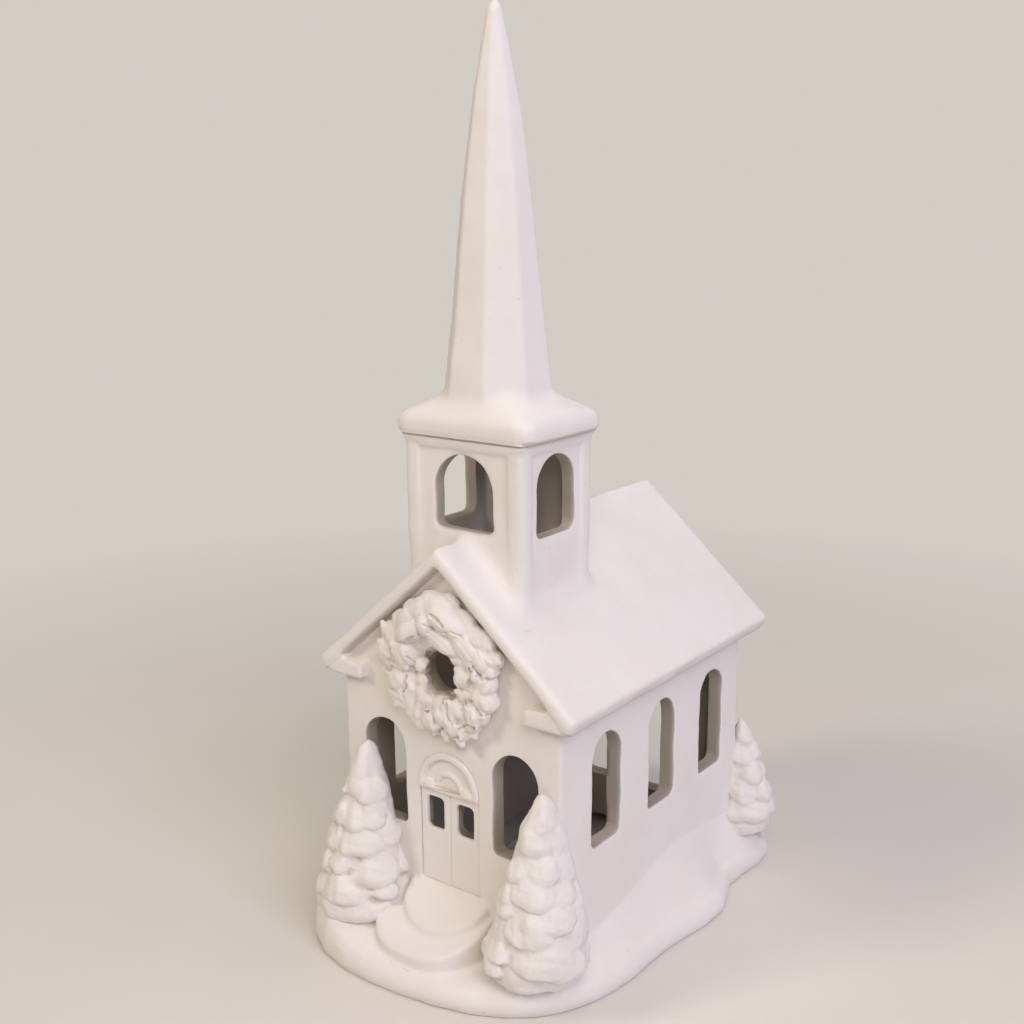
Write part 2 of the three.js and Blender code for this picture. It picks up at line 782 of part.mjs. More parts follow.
// A half-oval tread with a worn edge, swollen by a clearance when it serves to trim a neighbour.
// Its top falls away from the door to a lower nose.
function tread(form, gap) {
  const halfWidth = form.halfWidth + gap;
  const depth = form.depth + gap;
  const topZ = form.topZ + gap;
  const fall = form.topZ - form.noseZ;
  const bowed = (value) => Math.sign(value) * Math.abs(value) ** (2 / form.squareness);
  const ring = (inset, z) =>
    Array.from({ length: treadSides }, (_, i) => {
      const angle = (2 * Math.PI * i) / treadSides;
      const share = 1 - inset / halfWidth;
      const x = form.x + halfWidth * share * bowed(Math.cos(angle));
      const out = share * bowed(Math.sin(angle));
      const drop = (fall * Math.abs(out) * z) / topZ;
      return new THREE.Vector3(x, depth * out, z - drop);
    });
  const rings = [
    ring(0, 0),
    ring(0, topZ - treadRound),
    ring(0.3 * treadRound, topZ - 0.3 * treadRound),
    ring(treadRound, topZ),
    ring(0.5 * halfWidth, topZ),
    ring(0.98 * halfWidth, topZ),
  ];
  return solid(ringLoft(rings, false));
}

const onSnow = (step) => mainBody(step.subtract(snowTool(seatGap)).subtract(naveTool(0)));
const lowerStep = () => onSnow(tread(lowerStepForm, 0));
const upperStep = () => onSnow(tread(upperStepForm, 0).subtract(tread(lowerStepForm, seatGap)));
const stepTool = () => tread(lowerStepForm, seatGap).add(tread(upperStepForm, seatGap));

// Front door

function doorLeaf(side) {
  const clear = seatGap / 2;
  const inner = side > 0 ? clear : -doorHalfWidth - overrun;
  const outer = side > 0 ? doorHalfWidth + overrun : -clear;
  const y1 = nicheDepth;
  const slab = nicheTool(seatGap, y1 - leafThickness, y1);
  const own = block(inner, outer, 0, naveWall, doorSillZ, springZ - clear);
  return slab.intersect(own).subtract(leafWindowTool());
}

// A half ring, lying in the plane of the facade, on upright ends down to the door's head.
function halfRing(radius, width, y0, y1) {
  const shape = new THREE.Shape();
  shape.moveTo(radius, springZ);
  shape.lineTo(radius, archZ);
  shape.absarc(0, archZ, radius, 0, Math.PI);
  shape.lineTo(-radius, springZ);
  shape.lineTo(width - radius, springZ);
  shape.absarc(0, archZ, radius - width, Math.PI, 0, true);
  shape.lineTo(radius - width, springZ);
  return solid(carriedBack(shape, y0, y1, { curveSegments: 10 }));
}

// The fanlight: a half-round panel with a rim, a small half ring and a pad of snow at each end.
function fanlight() {
  const foot = springZ + seatGap / 2;
  const panel = nicheTool(seatGap, nicheDepth - leafThickness, nicheDepth);
  const rim = halfRing(doorHalfWidth - seatGap, fanlightRimWidth, -fanlightProud / 2, nicheDepth);
  const ring = halfRing(fanlightRingRadius, fanlightRingWidth, 0, nicheDepth);
  const pads = [-1, 1].map((side) => {
    const pad = new THREE.SphereGeometry(1, 10, 6);
    pad.scale(fanlightPadLength, nicheDepth + fanlightProud, 0.55 * fanlightPadLength);
    const x = side * (doorHalfWidth - fanlightPadLength - seatGap);
    const front = block(-far, far, -far, nicheDepth, -far, far);
    return solid(pad.translate(x, nicheDepth, springZ + 1.2)).intersect(front);
  });
  return [rim, ring, ...pads].reduce((sum, part) => sum.add(part), panel).subtract(below(foot));
}

// Gable returns

// A return runs level from the foot of the rake out to the end of the eave.
function gableReturn(side) {
  const clearUnder = (x) => roofUnder(x) - wallTopGap;
  const bottom = clearUnder(returnOuterX) - returnEndHeight;
  const top = bottom + returnHeight;
  const shape = new THREE.Shape();
  const level = (clearUnder(0) - top) / roofSlope;
  shape.moveTo(side * returnInnerX, bottom);
  shape.lineTo(side * returnOuterX, bottom);
  shape.lineTo(side * returnOuterX, clearUnder(returnOuterX));
  shape.lineTo(side * level, top);
  shape.lineTo(side * returnInnerX, top - 0.8);
  return solid(carriedBack(shape, -returnProud, 0));
}

// Wreath

// The leaves of the wreath: each sprig is a fan of leaves that point outwards.
function wreathLeaves() {
  const leaves = [];
  const middle = (wreathRadius + wreathHoleRadius) / 2;
  for (let sprig = 0; sprig < sprigCount; sprig++) {
    const around = (360 * sprig) / sprigCount + 8 * Math.sin(3.7 * sprig);
    for (let row = 0; row < 3; row++) {
      for (let leaf = -1; leaf <= 1; leaf++) {
        const turn = around + leaf * 15 + 6 * Math.sin(sprig + 2 * row);
        const reach = middle + (row - 1) * 0.24 * (wreathRadius - wreathHoleRadius);
        const heading = around + leaf * 34 + (row === 0 ? 180 : 0);
        const proud = (row === 1 ? 1 : 0.7) * wreathRelief;
        leaves.push({
          x: reach * Math.cos(radians(turn)),
          z: reach * Math.sin(radians(turn)),
          heading: radians(heading),
          proud,
        });
      }
    }
  }
  return leaves;
}

// How far the wreath stands off the wall at a point of its own plane, over all its leaves.
function wreathHeight(leaves, x, z) {
  const r = Math.hypot(x, z);
  const middle = (wreathRadius + wreathHoleRadius) / 2;
  const half = (wreathRadius - wreathHoleRadius) / 2;
  const body = 0.62 * wreathRelief * Math.sqrt(Math.max(0, 1 - ((r - middle) / half) ** 2));
  let best = body;
  for (const leaf of leaves) {
    const dx = x - leaf.x;
    const dz = z - leaf.z;
    const along = dx * Math.cos(leaf.heading) + dz * Math.sin(leaf.heading);
    const across = dz * Math.cos(leaf.heading) - dx * Math.sin(leaf.heading);
    const inside = 1 - (along / sprigLeafLength) ** 2 - (across / sprigLeafWidth) ** 2;
    if (inside > 0) best = Math.max(best, leaf.proud * Math.sqrt(inside) ** 0.8);
  }
  return best;
}

// The wreath's outer edge comes and goes with its sprigs.
function wreathEdgeRadius(angle) {
  const lobes = Math.cos(sprigCount * angle - 0.6) + 0.5 * Math.cos(0.5 * sprigCount * angle + 1.1);
  return wreathRadius - wreathEdge + (wreathEdge / 1.5) * lobes;
}

// The wreath as a closed ring of sections, raised by a clearance when it serves as a cutter.
function wreath(lift = 0) {
  const leaves = wreathLeaves();
  const around = 68;
  const across = 9;
  const sections = [];
  for (let i = 0; i < around; i++) {
    const angle = (2 * Math.PI * i) / around;
    const inner = wreathHoleRadius + 0.5 * Math.cos(6 * angle) - lift;
    const outer = wreathEdgeRadius(angle) + lift;
    const section = [];
    for (let j = 0; j <= across; j++) {
      const r = inner + (outer - inner) * (0.5 - 0.5 * Math.cos((Math.PI * j) / across));
      const x = r * Math.cos(angle);
      const z = r * Math.sin(angle);
      const height = 1.2 + wreathHeight(leaves, x, z) * Math.sin((Math.PI * (j + 0.6)) / (across + 1.2)) ** 0.4;
      section.push(new THREE.Vector3(wreathCentreX + x, -height - lift, wreathCentreZ + z));
    }
    for (const r of [outer, inner]) {
      const x = wreathCentreX + r * Math.cos(angle);
      section.push(new THREE.Vector3(x, lift, wreathCentreZ + r * Math.sin(angle)));
    }
    sections.push(section);
  }
  return solid(ringLoft(sections, true));
}

// A ribbon bow: two loops, a knot and two tails that hang outwards, trimmed to lie on the wreath.
function wreathBow() {
  const knot = solid(new THREE.SphereGeometry(1, 10, 6).scale(2, 2.2, 1.8));
  const loops = [-1, 1].map((side) => {
    const loop = new THREE.TorusGeometry(0.6 * bowLoopWidth, bowRibbon, 6, 12);
    loop.rotateX(Math.PI / 2).scale(bowLoopLength / bowLoopWidth, 1.5, 1);
    return solid(loop.rotateY(side * 0.3).translate(side * 0.9 * bowLoopLength, -0.4, 0.4));
  });
  const tails = [-bowLeftTail, bowRightTail].map((run) => {
    const route = new THREE.CatmullRomCurve3([
      new THREE.Vector3(0, 0, 0),
      new THREE.Vector3(0.5 * run, -0.4, -0.16 * Math.abs(run)),
      new THREE.Vector3(run, 0.6, -0.45 * Math.abs(run)),
    ]);
    const ribbon = new THREE.Shape();
    ribbon.absellipse(0, 0, 1.5 * bowRibbon, 0.9 * bowRibbon, 0, 2 * Math.PI);
    const settings = { steps: 4, extrudePath: route, curveSegments: 3 };
    return solid(new THREE.ExtrudeGeometry(ribbon, settings));
  });
  const made = [...loops, ...tails].reduce((sum, part) => sum.add(part), knot);
  const x = wreathCentreX + bowReach * Math.cos(radians(bowBearing));
  const z = wreathCentreZ + bowReach * Math.sin(radians(bowBearing));
  const seated = made.rotate([0, bowTilt, 0]).translate([x, -bowProud, z]);
  return mainBody(seated.subtract(wreath(seatGap)).subtract(naveTool(seatGap)));
}

// Evergreens

// The boughs of a tree: tiers of drooping pillows, each tier turned against the one below, and a
// single pillow for its tip.
function treeBoughs({ radius, footZ, topZ, tiers, turn }) {
  const boughs = [];
  const up = (0.72 * (topZ - footZ)) / tiers;
  for (let tier = 0; tier < tiers; tier++) {
    const t = tier / (tiers - 1);
    const tip = tier === tiers - 1;
    const count = tip ? 1 : Math.round(boughsAtFoot - boughsFewerAtTip * t);
    const tierRadius = radius * (1 - 0.76 * t);
    const z = footZ + up + (topZ - footZ - 2 * up) * t;
    const arc = (2 * Math.PI * 0.72 * tierRadius) / count;
    for (let i = 0; i < count; i++) {
      const sway = 7 * Math.sin(5 * i + tier);
      boughs.push({
        bearing: radians(turn + (360 * (i + 0.5 * (tier % 2))) / count + sway),
        reach: tip ? 0 : 0.56 * tierRadius,
        out: tip ? tierRadius : 0.44 * tierRadius,
        across: tip ? tierRadius : 0.5 * boughOverlap * arc,
        up,
        z: tip ? z : z + 0.1 * up * Math.sin(3 * i + 2 * tier),
      });
    }
  }
  return boughs;
}

// Distance from the trunk line to the outside of one bough, level at z and in a direction. A
// bough droops: it reaches further out below its middle than above it.
function boughReach(bough, angle, z) {
  const rise = (z - bough.z) / bough.up;
  if (Math.abs(rise) >= 1) return 0;
  const reach = bough.reach * (1 - 0.16 * rise);
  const c = Math.cos(angle - bough.bearing);
  const s = Math.sin(angle - bough.bearing);
  const a = (c / bough.out) ** 2 + (s / bough.across) ** 2;
  const b = (-2 * c * reach) / bough.out ** 2;
  const d = (reach / bough.out) ** 2 - (1 - rise ** 2);
  const root = b * b - 4 * a * d;
  if (root < 0) return 0;
  return Math.max(0, (-b + Math.sqrt(root)) / (2 * a));
}

// A tree is the outside of all its boughs, seen from its trunk line, on a stem rooted in the snow.
function tree(form) {
  const { x, y, radius, footZ, topZ, lean, around, layers } = form;
  const boughs = treeBoughs(form);
  const rings = [];
  for (let k = -2; k <= layers; k++) {
    const t = Math.max(0, k / layers);
    const z = footZ + ((topZ - footZ) * k) / layers;
    const core = Math.max(0.6, 0.52 * radius * (1 - t) ** 1.1);
    const ring = [];
    for (let i = 0; i < around; i++) {
      const angle = (2 * Math.PI * i) / around;
      const reach = boughs.reduce((most, bough) => Math.max(most, boughReach(bough, angle, z)), core);
      ring.push(new THREE.Vector3(x + lean * t + reach * Math.cos(angle), y + reach * Math.sin(angle), z));
    }
    rings.push(ring);
  }
  const made = solid(ringLoft(rings, false));
  const trimmed = made.subtract(naveTool(seatGap)).subtract(snowTool(seatGap));
  return mainBody(trimmed.subtract(stepTool()));
}

const frontTree = {
  radius: frontTreeRadius, footZ: frontTreeFootZ, topZ: frontTreeTopZ, tiers: 6, around: 30, layers: 22,
};
const rearTree = {
  radius: rearTreeRadius, footZ: rearTreeFootZ, topZ: rearTreeTopZ, tiers: 5, around: 24, layers: 16,
};

const treeFrontLeft = () =>
  tree({
    ...frontTree,
    x: leftTreeInset - naveHalfWidth,
    y: -leftTreeBefore,
    turn: leftTreeTurn,
    lean: frontTreeLean,
  });
const treeFrontRight = () =>
  tree({
    ...frontTree,
    x: naveHalfWidth - rightTreeInset,
    y: -rightTreeBefore,
    turn: rightTreeTurn,
    lean: frontTreeLean,
  });
const rearTreeAt = (side, turn) =>
  tree({
    ...rearTree,
    x: side * (naveHalfWidth + rearTreeOutside),
    y: naveLength + rearTreeBehind,
    turn,
    lean: 0,
  });

// Tea light

function lightCup() {
  const inner = lightRadius - lightCupWall;
  const profile = [
    [0, 0],
    [lightRadius - 1, 0],
    [lightRadius - lightRim, 0.6],
    [lightRadius - lightRim, lightHeight - 1.2],
    [lightRadius, lightHeight - 0.7],
    [lightRadius, lightHeight],
    [inner - lightRim, lightHeight],
    [inner - lightRim, lightCupWall],
    [0, lightCupWall],
  ].map(([r, z]) => new THREE.Vector2(r, z));
  return solid(new THREE.LatheGeometry(profile, 28).rotateX(Math.PI / 2));
}

function lightWax() {
  const radius = lightRadius - lightCupWall - lightRim - seatGap;
  const foot = lightCupWall;
  const top = foot + lightWaxHeight;
  const bore = wickRadius + 0.1;
  const profile = [
    [bore, foot],
    [radius, foot],
    [radius, top],
    [0.82 * radius, top - 0.5],
    [0.25 * radius, top - 0.6],
    [bore, top - 0.2],
    [bore, foot],
  ].map(([r, z]) => new THREE.Vector2(r, z));
  return solid(new THREE.LatheGeometry(profile, 28).rotateX(Math.PI / 2));
}

function lightWick() {
  const top = lightCupWall + lightWaxHeight + wickHeight;
  const profile = [
    [0, lightCupWall],
    [wickRadius, lightCupWall],
    [wickRadius, top - 0.6],
    [0.5 * wickRadius, top],
    [0, top],
  ].map(([r, z]) => new THREE.Vector2(r, z));
  return solid(new THREE.LatheGeometry(profile, 8).rotateX(Math.PI / 2));
}

const atNaveMiddle = (made) => made.translate([0, naveLength / 2, 0]);

// The mound's plan is measured, so that the lantern's middle can be put at the origin.
function planMiddle(made) {
  const { min, max } = made.boundingBox();
  return [(min[0] + max[0]) / 2, (min[1] + max[1]) / 2];
}

const mound = snowMound();
const church = new THREE.Group();
church.add(
  piece("snow_mound", mound, bisque()),
  piece("nave_front_wall", frontWall(), bisque()),
  piece("nave_rear_wall", rearWall(), bisque()),
  piece("nave_left_wall", sideWall(-1), bisque()),
  piece("nave_right_wall", sideWall(1), bisque()),
  piece("roof", roof(), bisque()),
  piece("bell_tower", bellTower(), bisque()),
  piece("steeple", steeple(), bisque()),
  piece("gable_return_left", gableReturn(-1), bisque()),
  piece("gable_return_right", gableReturn(1), bisque()),
  piece("wreath", wreath(), bisque()),
  piece("wreath_bow", wreathBow(), bisque()),
  piece("door_leaf_left", doorLeaf(-1), bisque()),
  piece("door_leaf_right", doorLeaf(1), bisque()),
  piece("door_fanlight", fanlight(), bisque()),
  piece("upper_step", upperStep(), bisque()),
  piece("lower_step", lowerStep(), bisque()),
  piece("tree_front_left", treeFrontLeft(), bisque()),
  piece("tree_front_right", treeFrontRight(), bisque()),
  piece("tree_rear_left", rearTreeAt(-1, 50), bisque()),
  piece("tree_rear_right", rearTreeAt(1, 20), bisque()),
);

const teaLight = new THREE.Group();
teaLight.add(
  piece("tea_light_cup", atNaveMiddle(lightCup()), foil()),
  piece("tea_light_wax", atNaveMiddle(lightWax()), wax()),
  piece("tea_light_wick", atNaveMiddle(lightWick()), cotton()),
);

const lantern = new THREE.Group();
const [middleX, middleY] = planMiddle(mound);
lantern.add(church, teaLight);
lantern.position.set(-middleX, -middleY, 0);

export default lantern;
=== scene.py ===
# %% [markdown]
# # A village church lantern
# The real thing is a white slip-cast church, fired once and left unglazed. It stands on a table,
# open underneath, over a tea light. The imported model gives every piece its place; these cells give
# the clay its soft edges, its modelled trees and wreath, and its chalky finish.

import json
import math

import bmesh
import bpy
import numpy as np
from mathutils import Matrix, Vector


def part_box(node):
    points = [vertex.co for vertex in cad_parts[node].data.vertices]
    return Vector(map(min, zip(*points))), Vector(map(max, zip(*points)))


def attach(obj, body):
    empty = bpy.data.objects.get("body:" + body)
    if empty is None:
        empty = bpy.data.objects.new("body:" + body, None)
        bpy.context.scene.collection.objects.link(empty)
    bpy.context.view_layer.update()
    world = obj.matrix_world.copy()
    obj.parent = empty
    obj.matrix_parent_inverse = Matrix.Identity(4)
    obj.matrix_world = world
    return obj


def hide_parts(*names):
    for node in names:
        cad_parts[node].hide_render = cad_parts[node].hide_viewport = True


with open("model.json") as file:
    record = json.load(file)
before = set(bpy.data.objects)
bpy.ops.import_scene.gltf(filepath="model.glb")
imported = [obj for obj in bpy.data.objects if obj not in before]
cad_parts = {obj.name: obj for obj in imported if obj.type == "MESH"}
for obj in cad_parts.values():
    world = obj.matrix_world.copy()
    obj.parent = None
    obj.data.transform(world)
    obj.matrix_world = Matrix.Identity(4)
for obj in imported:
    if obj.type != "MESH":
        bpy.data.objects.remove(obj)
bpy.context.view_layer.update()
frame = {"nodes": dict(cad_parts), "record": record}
MM = 0.001
nodes = frame["nodes"]
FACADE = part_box("nave_front_wall")[0][1] / MM
NAVE_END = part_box("nave_rear_wall")[1][1] / MM
TOWER_Y = (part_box("bell_tower")[0][1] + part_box("bell_tower")[1][1]) / 2 / MM
print("solids in the frame:", len(nodes), "facade at", round(FACADE, 2), "mm")

# %% [markdown]
# ## Camera
# The photograph was taken from the front right and a little above, close enough for the edges to
# draw together. The place and the lens come from a fit to the church's straight edges. The axes
# are worked out one by one, because the picture leans by a fraction of a degree.


# %% Camera
def camera_axes(azimuth, elevation, roll):
    """Right, up and back directions of a camera that looks at the church from these angles."""
    az, el, lean = (math.radians(v) for v in (azimuth, elevation, roll))
    back = Vector((math.sin(az) * math.cos(el), -math.cos(az) * math.cos(el), math.sin(el)))
    right = (-back).cross(Vector((0, 0, 1))).normalized()
    up = right.cross(-back)
    leaning_right = right * math.cos(lean) + up * math.sin(lean)
    leaning_up = up * math.cos(lean) - right * math.sin(lean)
    return leaning_right, leaning_up, back


camera = bpy.data.objects.new("camera", bpy.data.cameras.new("camera"))
bpy.context.scene.collection.objects.link(camera)
camera.data.lens = 45.7
camera.data.sensor_width = 36.0
camera.data.clip_start = 0.01
right, up, back = camera_axes(36.84, 13.37, -0.42)
for row in range(3):
    camera.matrix_world[row][:] = (right[row], up[row], back[row], (0.2713, -0.3883, 0.2673)[row])
bpy.context.scene.camera = camera
bpy.context.scene.view_settings.view_transform = "Standard"
print("camera at", [round(v, 4) for v in camera.matrix_world.translation])

# %% [markdown]
# ## Mesh helpers
# Clay has no sharp edge anywhere. A voxel remesh turns joined solids into one even skin, and
# easing that skin, vertex by vertex towards its neighbours, rounds every arris and fills every
# inner corner the way a wet sponge does. Doing it with arrays keeps it quick.


def new_object(name, mesh):
    made = bpy.data.objects.new(name, mesh)
    bpy.context.scene.collection.objects.link(made)
    return made


def points_of(mesh):
    flat = np.empty(len(mesh.vertices) * 3, np.float32)
    mesh.vertices.foreach_get("co", flat)
    return flat.reshape(-1, 3).astype(float)


def put_points(mesh, at):
    mesh.vertices.foreach_set("co", at.astype(np.float32).ravel())
    mesh.update()


def normals_of(mesh):
    flat = np.empty(len(mesh.vertices) * 3, np.float32)
    mesh.vertex_normals.foreach_get("vector", flat)
    return flat.reshape(-1, 3).astype(float)


def edges_of(mesh):
    flat = np.empty(len(mesh.edges) * 2, np.int32)
    mesh.edges.foreach_get("vertices", flat)
    return flat.reshape(-1, 2).T


def neighbour_mean(values, ends, count):
    """The mean of each vertex's neighbours, for an array of one or more columns."""
    a, b = ends
    columns = values.reshape(len(values), -1).T
    sums = [np.bincount(a, c[b], len(c)) + np.bincount(b, c[a], len(c)) for c in columns]
    return (np.array(sums) / count).T.reshape(values.shape)


def ease(mesh, rounds, weight):
    """Pulls each vertex towards its neighbours, as far as its weight says."""
    at, ends = points_of(mesh), edges_of(mesh)
    count = np.maximum(np.bincount(ends.ravel(), minlength=len(at)), 1)
    pull = (0.5 * np.broadcast_to(weight, len(at)))[:, None]
    for _ in range(rounds):
        at += (neighbour_mean(at, ends, count) - at) * pull
    put_points(mesh, at)


def waver(at, length, seed, waves=10):
    """A soft random height for each point, made of waves in random directions."""
    draw = np.random.default_rng(seed)
    total = np.zeros(len(at))
    for _ in range(waves):
        way = draw.normal(size=3)
        way *= 2 * math.pi / (length * draw.uniform(0.7, 1.6) * np.linalg.norm(way))
        total += np.sin(at @ way + draw.uniform(0, 2 * math.pi))
    return total / math.sqrt(waves)


def roughen(mesh, layers, seed):
    """Moves the skin in and out by soft waves. A layer is a (wave length, height) in mm."""
    at = points_of(mesh)
    height = sum(waver(at, length * MM, seed + k) * tall for k, (length, tall) in enumerate(layers))
    put_points(mesh, at + normals_of(mesh) * (height * MM)[:, None])


print("full meshes")

# %% [markdown]
# ## Remesh, cut and join
# Shapes are joined with a voxel remesh and cut with booleans, the way clay is luted together and
# then trimmed with a knife. Both are modifiers, and each is applied at once, so that the next step
# works on the finished mesh. Every tool is a closed block or a ball, made from points.

# %% Remesh, cut and join
def apply_modifiers(thing):
    thing.data = bpy.data.meshes.new_from_object(
        thing.evaluated_get(bpy.context.evaluated_depsgraph_get())
    )
    thing.modifiers.clear()
    return thing


def joined_copy(name, names):
    """One object that holds copies of several solids' meshes."""
    shape = bmesh.new()
    for each in names:
        shape.from_mesh(nodes[each].data)
    mesh = bpy.data.meshes.new(name)
    shape.to_mesh(mesh)
    shape.free()
    return new_object(name, mesh)


ball = bmesh.new()
bmesh.ops.create_icosphere(ball, subdivisions=4, radius=1)
BALL = np.array([v.co for v in ball.verts])
BALL_FACES = np.array([[v.index for v in f.verts] for f in ball.faces])
ball.free()


def mesh_of(name, parts):
    """One object out of several (points, faces) pairs, in millimetres."""
    starts = np.cumsum([0] + [len(p) for p, _ in parts[:-1]])
    corners = np.vstack([p for p, _ in parts]) * MM
    faces = np.vstack([f + start for (_, f), start in zip(parts, starts)])
    mesh = bpy.data.meshes.new(name)
    mesh.from_pydata(corners.tolist(), [], faces.tolist())
    return new_object(name, mesh)


def even_skin(thing, size):
    remesh = thing.modifiers.new("skin", "REMESH")
    remesh.mode = "VOXEL"
    remesh.voxel_size = size
    return apply_modifiers(thing)


def fewer_faces(thing, share):
    thin = thing.modifiers.new("thin", "DECIMATE")
    thin.ratio = share
    return apply_modifiers(thing)


def prism(name, outline, start, end, axis, between=()):
    """A closed block: an outline of pairs, in millimetres, carried along one axis."""
    def place(p, q, along):
        triple = [p, q]
        triple.insert(axis, along)
        return [v * MM for v in triple]

    n, rows = len(outline), (start, *between, end)
    corners = [place(p, q, along) for along in rows for p, q in outline]
    last = n * (len(rows) - 1)
    sides = [(k + i, k + (i + 1) % n, k + n + (i + 1) % n, k + n + i)
             for k in range(0, last, n) for i in range(n)]
    faces = sides + [tuple(range(n))[::-1], tuple(range(last, last + n))]
    mesh = bpy.data.meshes.new(name)
    mesh.from_pydata(corners, [], faces)
    shape = bmesh.new()
    shape.from_mesh(mesh)
    bmesh.ops.recalc_face_normals(shape, faces=shape.faces)
    bmesh.ops.triangulate(shape, faces=shape.faces)
    shape.to_mesh(mesh)
    shape.free()
    return new_object(name, mesh)


def block(name, x, y, z):
    return prism(name, [(x[0], y[0]), (x[1], y[0]), (x[1], y[1]), (x[0], y[1])], *z, axis=2)


def cut(thing, tool, how):
    step = thing.modifiers.new("cut", "BOOLEAN")
    step.object = tool
    step.operation = how
    step.solver = "MANIFOLD"
    return apply_modifiers(thing)


def take(name, whole, tool):
    """Cuts a named piece out of the whole casting along a tool, which is then thrown away."""
    taken = new_object(name, whole.data.copy())
    cut(taken, tool, "INTERSECT")
    cut(whole, tool, "DIFFERENCE")
    bpy.data.objects.remove(tool)
    return taken


def smooth_shade(thing, angle=38):
    mesh = thing.data
    mesh.shade_smooth()
    mesh.set_sharp_from_angle(angle=math.radians(angle))
    return thing


print("ball for lumps:", len(BALL), "points")

# %% [markdown]
# ## The casting
# Mound, steps, walls, roof, tower and steeple left one mould together, so their shared edges run
# into each other without a joint. The solids stand 0.3 mm apart; the remesh closes those seats.
# The whole skin is then eased, most of all the snow, the roof's edges and the foot of the tower. A
# bevel can't do this, since it knows nothing of one solid meeting the next.

# %% Sizes of the casting
CAST_NODES = [
    "snow_mound", "lower_step", "upper_step", "nave_front_wall", "nave_rear_wall",
    "nave_left_wall", "nave_right_wall", "gable_return_left", "gable_return_right", "roof",
    "bell_tower", "steeple",
]
NAVE_HALF, WALL = 48.0, 6.2
TOWER_HALF_X, TOWER_HALF_Y = 25.4, 21.1
RIDGE_Z, ROOF_SLOPE, ROOF_DROP = 156.0, math.tan(math.radians(41.3)), 7.45
SKIN = 0.75 * MM


def roof_under(x):
    return RIDGE_Z - ROOF_SLOPE * abs(x) - ROOF_DROP


def bump_between(value, low, high, edge):
    """1 between two limits, falling softly to 0 outside them."""
    rise = np.clip((value - low) / edge + 0.5, 0, 1)
    fall = np.clip((high - value) / edge + 0.5, 0, 1)
    return rise * fall


print("skin of", round(SKIN / MM, 2), "mm faces over", len(CAST_NODES), "solids")

# %% [markdown]
# ## Where the casting is soft
# The same easing everywhere would wash out the steps and leave the snow too stiff. So each part of
# the casting gets its own weight: snow and roof edges ease most, steps and corners least.

# %% Where the casting is soft
# Each region is (how far it eases, |x| limits, y limits from the facade, z limits), in millimetres.
REGIONS = [
    (0.9, (0, 60), (-8, 136), (99, 160)),  # roof and gables
    (0.3, (0, 28), (-27, -0.5), (10, 31)),  # steps
    (0.10, (40, 49), (14, 118), (47, 94)),  # side windows
    (0.10, (0, 40.5), (-2, 8), (27, 92)),  # front windows and door niche
    (0.10, (0, 26), (118, 128), (22, 80)),  # rear arch
    (0.22, (34, 54), (-8, 0.6), (99, 109)),  # gable returns
    (0.12, (0, 30), (8, 54), (154.5, 187.5)),  # belfry
    (0.16, (0, 32), (4, 58), (188, 193)),  # the cap's lip
    (1.0, (0, 32), (4, 58), (197.5, 216)),  # the cap's top, where the spire springs
    (0.1, (0, 8), (20, 42), (316, 340)),  # the spire's tip
]


def softness(at):
    """How freely each point of the casting eases: snow most, the spire's tip least."""
    x, y, z = at.T / MM
    out = np.maximum(np.abs(x) - NAVE_HALF, np.maximum(FACADE - y, y - NAVE_END))
    weight = 0.5 + 0.5 * np.clip((out + 2) / 3, 0, 1) * np.clip((38 - z) / 6, 0, 1)
    for value, xs, ys, zs in REGIONS:
        inside = (bump_between(np.abs(x), *xs, 2) * bump_between(y - FACADE, *ys, 2)
                  * bump_between(z, *zs, 2))
        weight += (value - weight) * inside
    return weight


def tower_foot(at):
    """1 along the line where the tower meets the roof, 0 from 15 mm away."""
    x, y, z = at.T / MM
    out = np.maximum(np.abs(x) - TOWER_HALF_X, np.abs(y - TOWER_Y) - TOWER_HALF_Y)
    above = (z - RIDGE_Z + ROOF_SLOPE * np.abs(x)) * 0.75
    near = np.clip(1.25 - np.hypot(out, above) / 12, 0, 1)
    return near * (z > 110)


def roof_edge(at):
    """1 along the eaves and the rakes, so that the slab's edge grows plump."""
    x, y, z = at.T / MM
    side = bump_between(np.abs(x), 50.5, 60, 2) * (z > 98)
    front_rake = bump_between(y - FACADE, -8, -2.2, 1.5)
    rakes = np.maximum(front_rake, bump_between(y - FACADE, 129, 140, 2))
    return np.clip(side + rakes * (z > 109), 0, 1)


print(len(REGIONS), "regions ease by their own weight")

# %% [markdown]
# ## The skin itself
# The solids are joined, with a drift of snow over the left tree's foot and a plug in the wreath's
# hole, which is cut again later. After the easing, the cap's lower lip gets back the one sharp
# edge that the real casting has, where the cap overhangs the tower.

# %% Casting skin
shape = joined_copy("casting", CAST_NODES)
WREATH_X, WREATH_Z, PLUG_RADIUS = -1.5, 110.3, 9
plug = prism(
    "plug", [(WREATH_X + PLUG_RADIUS * math.cos(k * math.pi / 12),
              WREATH_Z + PLUG_RADIUS * math.sin(k * math.pi / 12)) for k in range(24)],
    FACADE + 0.2, FACADE + 6, axis=1,
)
drift = mesh_of("drift", [(BALL * (9.5, 16, 14) + (-54, FACADE - 8, 12), BALL_FACES)])
for extra in (plug, drift):
    cut(shape, extra, "UNION")
    bpy.data.objects.remove(extra)
casting = even_skin(shape, SKIN)
ease(casting.data, 7, softness(points_of(casting.data)))
ease(casting.data, 30, tower_foot(points_of(casting.data)))
ease(casting.data, 8, roof_edge(points_of(casting.data)))
CAP_LIP_Z, SHAFT_GROWTH = 190.5, 0.4
shaft_x, shaft_y = TOWER_HALF_X + SHAFT_GROWTH, TOWER_HALF_Y + SHAFT_GROWTH
lip = block("lip", (-40, 40), (TOWER_Y - 40, TOWER_Y + 40), (184, CAP_LIP_Z))
